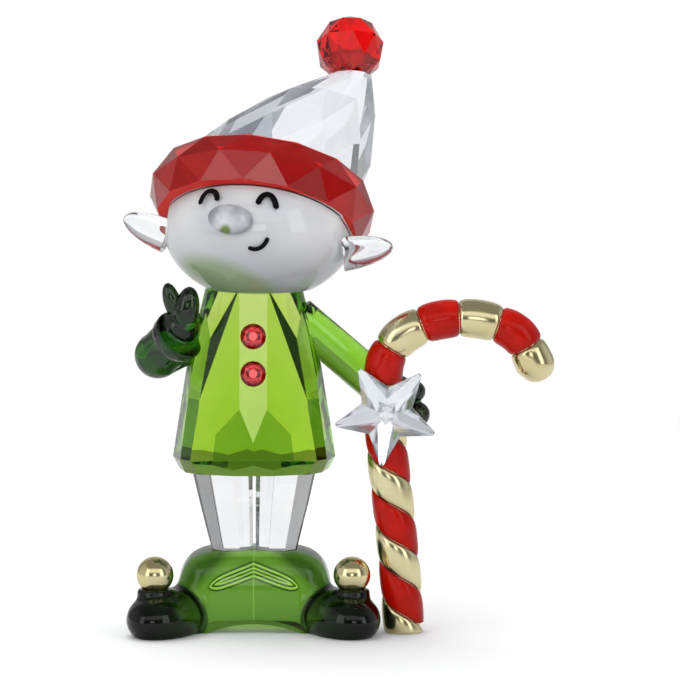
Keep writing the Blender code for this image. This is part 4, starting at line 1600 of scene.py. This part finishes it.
@dataclass
class Studio:
    """Pale floor, soft lamps and the camera at the photograph's angle."""

    distance: float = 600.0
    elevation: float = 7.0
    mm_per_pixel: float = 0.1256
    target: Triple = (10.8, 0.0, 36.3)
    aim: Triple = (5.0, 0.0, 35.0)
    sensor: float = 36.0
    floor_half: float = 4000.0
    floor_white: float = 0.76
    floor_glow: float = 0.05
    card_white: float = 0.58
    floor_gloss: float = 0.56
    shadow_reach: float = 70.0
    ambient_hex: str = "FBFDFF"
    ambient: float = 0.5
    overhead: float = 1.3
    overhead_gloss: float = 0.25
    overhead_from: tuple[float, float] = (0.62, 0.82)
    gloss_level: float = 0.6
    fill: float = 2.15
    sides: Curve = (
        (-180, 0.22), (-142, 0.22), (-126, 0.5), (-116, 0.9), (-85, 0.95), (-62, 0.85), (-52, 0.45),
        (-42, 0.45), (-34, 0.75), (-12, 0.9), (8, 0.92), (24, 0.78), (33, 0.45), (42, 0.45),
        (54, 0.85), (80, 0.9), (100, 0.6), (112, 0.22), (180, 0.22),
    )
    heights: Curve = (
        (0.0, 0.7), (0.45, 0.9), (0.55, 1.0), (0.68, 0.95), (0.8, 0.85), (0.9, 0.8), (1.0, 0.75),
    )
    window_edge: tuple[float, float] = (0.8, 1.1)
    bounces: int = 24
    gloss_bounces: int = 8
    clip_start: float = 10.0
    softboxes: tuple[Softbox, ...] = (
        Softbox(0.0, 30.0, 36.0, 13.0, 1.0),
        Softbox(0.0, 8.0, 10.5, 6.5, 2.1),
        Softbox(46.0, 10.0, 12.0, 30.0, 1.7),
        Softbox(-48.0, 11.0, 12.0, 30.0, 1.7),
    )
    lamps: tuple[Lamp, ...] = (
        Lamp("lamp_top", (-60, 200, 620), (600, 600), 3.9),
        Lamp("lamp_left", (-420, -260, 620), (420, 420), 1.2),
        Lamp("lamp_right", (520, -300, 420), (420, 420), 0.9),
        Lamp("lamp_front", (-150, -560, 75), (300, 130), 1.7),
    )

    def add_camera(self) -> None:
        """Place the camera and make it the scene's."""
        data = bpy.data.cameras.new("camera")
        data.sensor_width = self.sensor
        data.lens = self.sensor * self.distance / (PHOTO_PIXELS * self.mm_per_pixel)
        data.clip_start = self.clip_start * MM
        camera = bpy.data.objects.new("camera", data)
        bpy.context.scene.collection.objects.link(camera)
        look = -facing(0, self.elevation)
        camera.location = (Vector(self.target) - look * self.distance) * MM
        camera.rotation_euler = (math.radians(90 - self.elevation), 0, 0)
        bpy.context.scene.camera = camera

    def add_lamp(self, lamp: Lamp) -> None:
        """Hang one of the lamps, which lights the object but isn't seen in it.

        Args:
            lamp: the lamp.
        """
        data = bpy.data.lights.new(lamp.name, "AREA")
        data.shape = "RECTANGLE"
        data.size, data.size_y = (side * MM for side in lamp.size)
        data.energy = lamp.watts
        hung = bpy.data.objects.new(lamp.name, data)
        bpy.context.scene.collection.objects.link(hung)
        hung.location = Vector(lamp.place) * MM
        hung.rotation_euler = (Vector(self.aim) * MM - hung.location).to_track_quat("-Z", "Y").to_euler()
        hung.visible_camera = hung.visible_glossy = hung.visible_transmission = False

    def add_softbox(self, tree: Tree, direction: Socket, below: Node, gloss: Socket, box: Softbox) -> Node:
        """Add one window to the tent, seen in gloss and through glass.

        Args:
            tree: the world's tree.
            direction: where the ray goes.
            below: the tent's colour so far.
            gloss: 1 for reflected rays and for those that glass bends, which alone see the window.
            box: the window.

        Returns:
            The tent's colour with the window.
        """
        middle = facing(box.azimuth, box.height)
        across = facing(box.azimuth + 90, 0)
        factor = gloss
        for axis, half in ((across, box.half_width), (middle.cross(across), box.half_height)):
            along = add_node(tree, "VectorMath", [direction, axis], operation="DOT_PRODUCT")
            off = add_node(tree, "Math", [along], operation="ABSOLUTE")
            ends = [math.sin(math.radians(half)) * share for share in self.window_edge]
            edge = add_node(tree, "MapRange", [off, *ends, 1.0, 0.0], **SOFT)
            factor = add_node(tree, "Math", [edge, factor], operation="MULTIPLY")
        ahead = add_node(tree, "VectorMath", [direction, middle], operation="DOT_PRODUCT")
        front = add_node(tree, "Math", [ahead, 0.0], operation="GREATER_THAN")
        factor = add_node(tree, "Math", [factor, front], operation="MULTIPLY")
        return add_node(tree, "Mix", [factor, below, grey(box.level)], **COLOUR)

    def add_world(self) -> None:
        """Make the world: white for the camera, a tent with windows and flags for gloss and glass.

        A ray that has left a matt surface sees an even fill instead, which lights foils and seats.
        """
        world = bpy.data.worlds.new("studio")
        bpy.context.scene.world = world
        world.use_nodes = True
        tree = world.node_tree
        tree.nodes.clear()
        light = add_node(tree, "LightPath").outputs
        gloss = light["Is Glossy Ray"]
        direction = add_node(tree, "TexCoord").outputs["Generated"]
        axes = add_node(tree, "SeparateXYZ", [direction]).outputs
        azimuth = add_node(tree, "Math", [axes["X"], axes["Y"]], operation="ARCTAN2")
        around = add_node(tree, "MapRange", [azimuth, -math.pi, math.pi])
        sides = [((angle + 180) / 360, grey(level)) for angle, level in self.sides]
        height = add_node(tree, "MapRange", [axes["Z"], -1.0, 1.0])
        heights = [(place, grey(level)) for place, level in self.heights]
        walls = [add_node(tree, "ValToRGB", [around], sides), add_node(tree, "ValToRGB", [height], heights)]
        tent = add_node(tree, "Mix", [1.0, *walls], **MULTIPLIED)
        tent = add_node(tree, "Mix", [gloss, tent, grey(self.gloss_level)], **MULTIPLIED)
        over = add_node(tree, "MapRange", [axes["Z"], *self.overhead_from], **SOFT)
        top = add_node(tree, "Mix", [gloss, grey(self.overhead), grey(self.overhead_gloss)], **COLOUR)
        tent = add_node(tree, "Mix", [over, tent, top], **COLOUR)
        for box in self.softboxes:
            tent = self.add_softbox(tree, direction, tent, gloss, box)
        matt = add_node(tree, "Math", [light["Diffuse Depth"], 0.5], operation="GREATER_THAN")
        filled = add_node(tree, "Mix", [matt, tent, grey(self.fill)], **COLOUR)
        seen = add_node(tree, "Background", [filled, 1.0])
        plain = add_node(tree, "Background", [linear(self.ambient_hex), self.ambient])
        white = add_node(tree, "Background", [grey(1.0), 1.0])
        sharp = add_node(tree, "Math", [gloss, light["Is Transmission Ray"]], operation="MAXIMUM")
        first = add_node(tree, "MixShader", [sharp, plain, seen])
        last = add_node(tree, "MixShader", [light["Is Camera Ray"], first, white])
        add_node(tree, "OutputWorld", [last])

    def add_floor(self) -> None:
        """Lay a white card that keeps the shadow; the camera and glass see it lit, gloss sees it grey."""
        material, tree = blank_material("matt_white_card")
        light = add_node(tree, "LightPath").outputs
        matt = add_node(tree, "BsdfDiffuse", [grey(self.floor_white)])
        glow = add_node(tree, "Emission", [grey(1.0), self.floor_glow])
        near = add_node(tree, "AddShader", [matt, glow])
        white = add_node(tree, "Emission", [grey(1.0), 1.0])
        place = add_node(tree, "TexCoord").outputs["Object"]
        reach = add_node(tree, "VectorMath", [place], operation="LENGTH")
        ends = [self.shadow_reach * MM, 3 * self.shadow_reach * MM]
        far = add_node(tree, "MapRange", [reach, *ends], **SOFT)
        lit = add_node(tree, "MixShader", [far, near, white])
        direct = [light["Is Camera Ray"], light["Is Transmission Ray"]]
        bright = add_node(tree, "Math", direct, operation="MAXIMUM")
        tones_and_painted_shades = [light["Is Glossy Ray"], grey(self.card_white), grey(self.floor_gloss)]
        card = add_node(tree, "BsdfDiffuse", [add_node(tree, "Mix", tones_and_painted_shades, **COLOUR)])
        add_node(tree, "OutputMaterial", [add_node(tree, "MixShader", [bright, card, lit])])
        bm = bmesh.new()
        bmesh.ops.create_grid(bm, x_segments=1, y_segments=1, size=self.floor_half)
        floor = mesh_object("studio_floor", bm)
        floor.data.materials.append(material)

    def build(self) -> None:
        """Set up the whole studio."""
        self.add_camera()
        self.add_world()
        self.add_floor()
        for lamp in self.lamps:
            self.add_lamp(lamp)
        cycles = bpy.context.scene.cycles
        cycles.max_bounces = cycles.transmission_bounces = self.bounces
        cycles.glossy_bounces = self.gloss_bounces
        cycles.caustics_reflective = False
        bpy.context.scene.view_settings.view_transform = "Standard"


def main() -> None:
    """Dress the frame piece by piece."""
    logging.basicConfig(level=logging.INFO, format="%(message)s")
    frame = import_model()
    shop = Workshop(frame["nodes"])
    Studio().build()
    hat = Hat()
    hat.dress(shop)
    Head().build(shop, hat.axis())
    cane = CandyCane()
    cane.build(shop)
    Body().build(shop, cane)
    Shoes().build(shop)


if __name__ == "__main__":
    main()
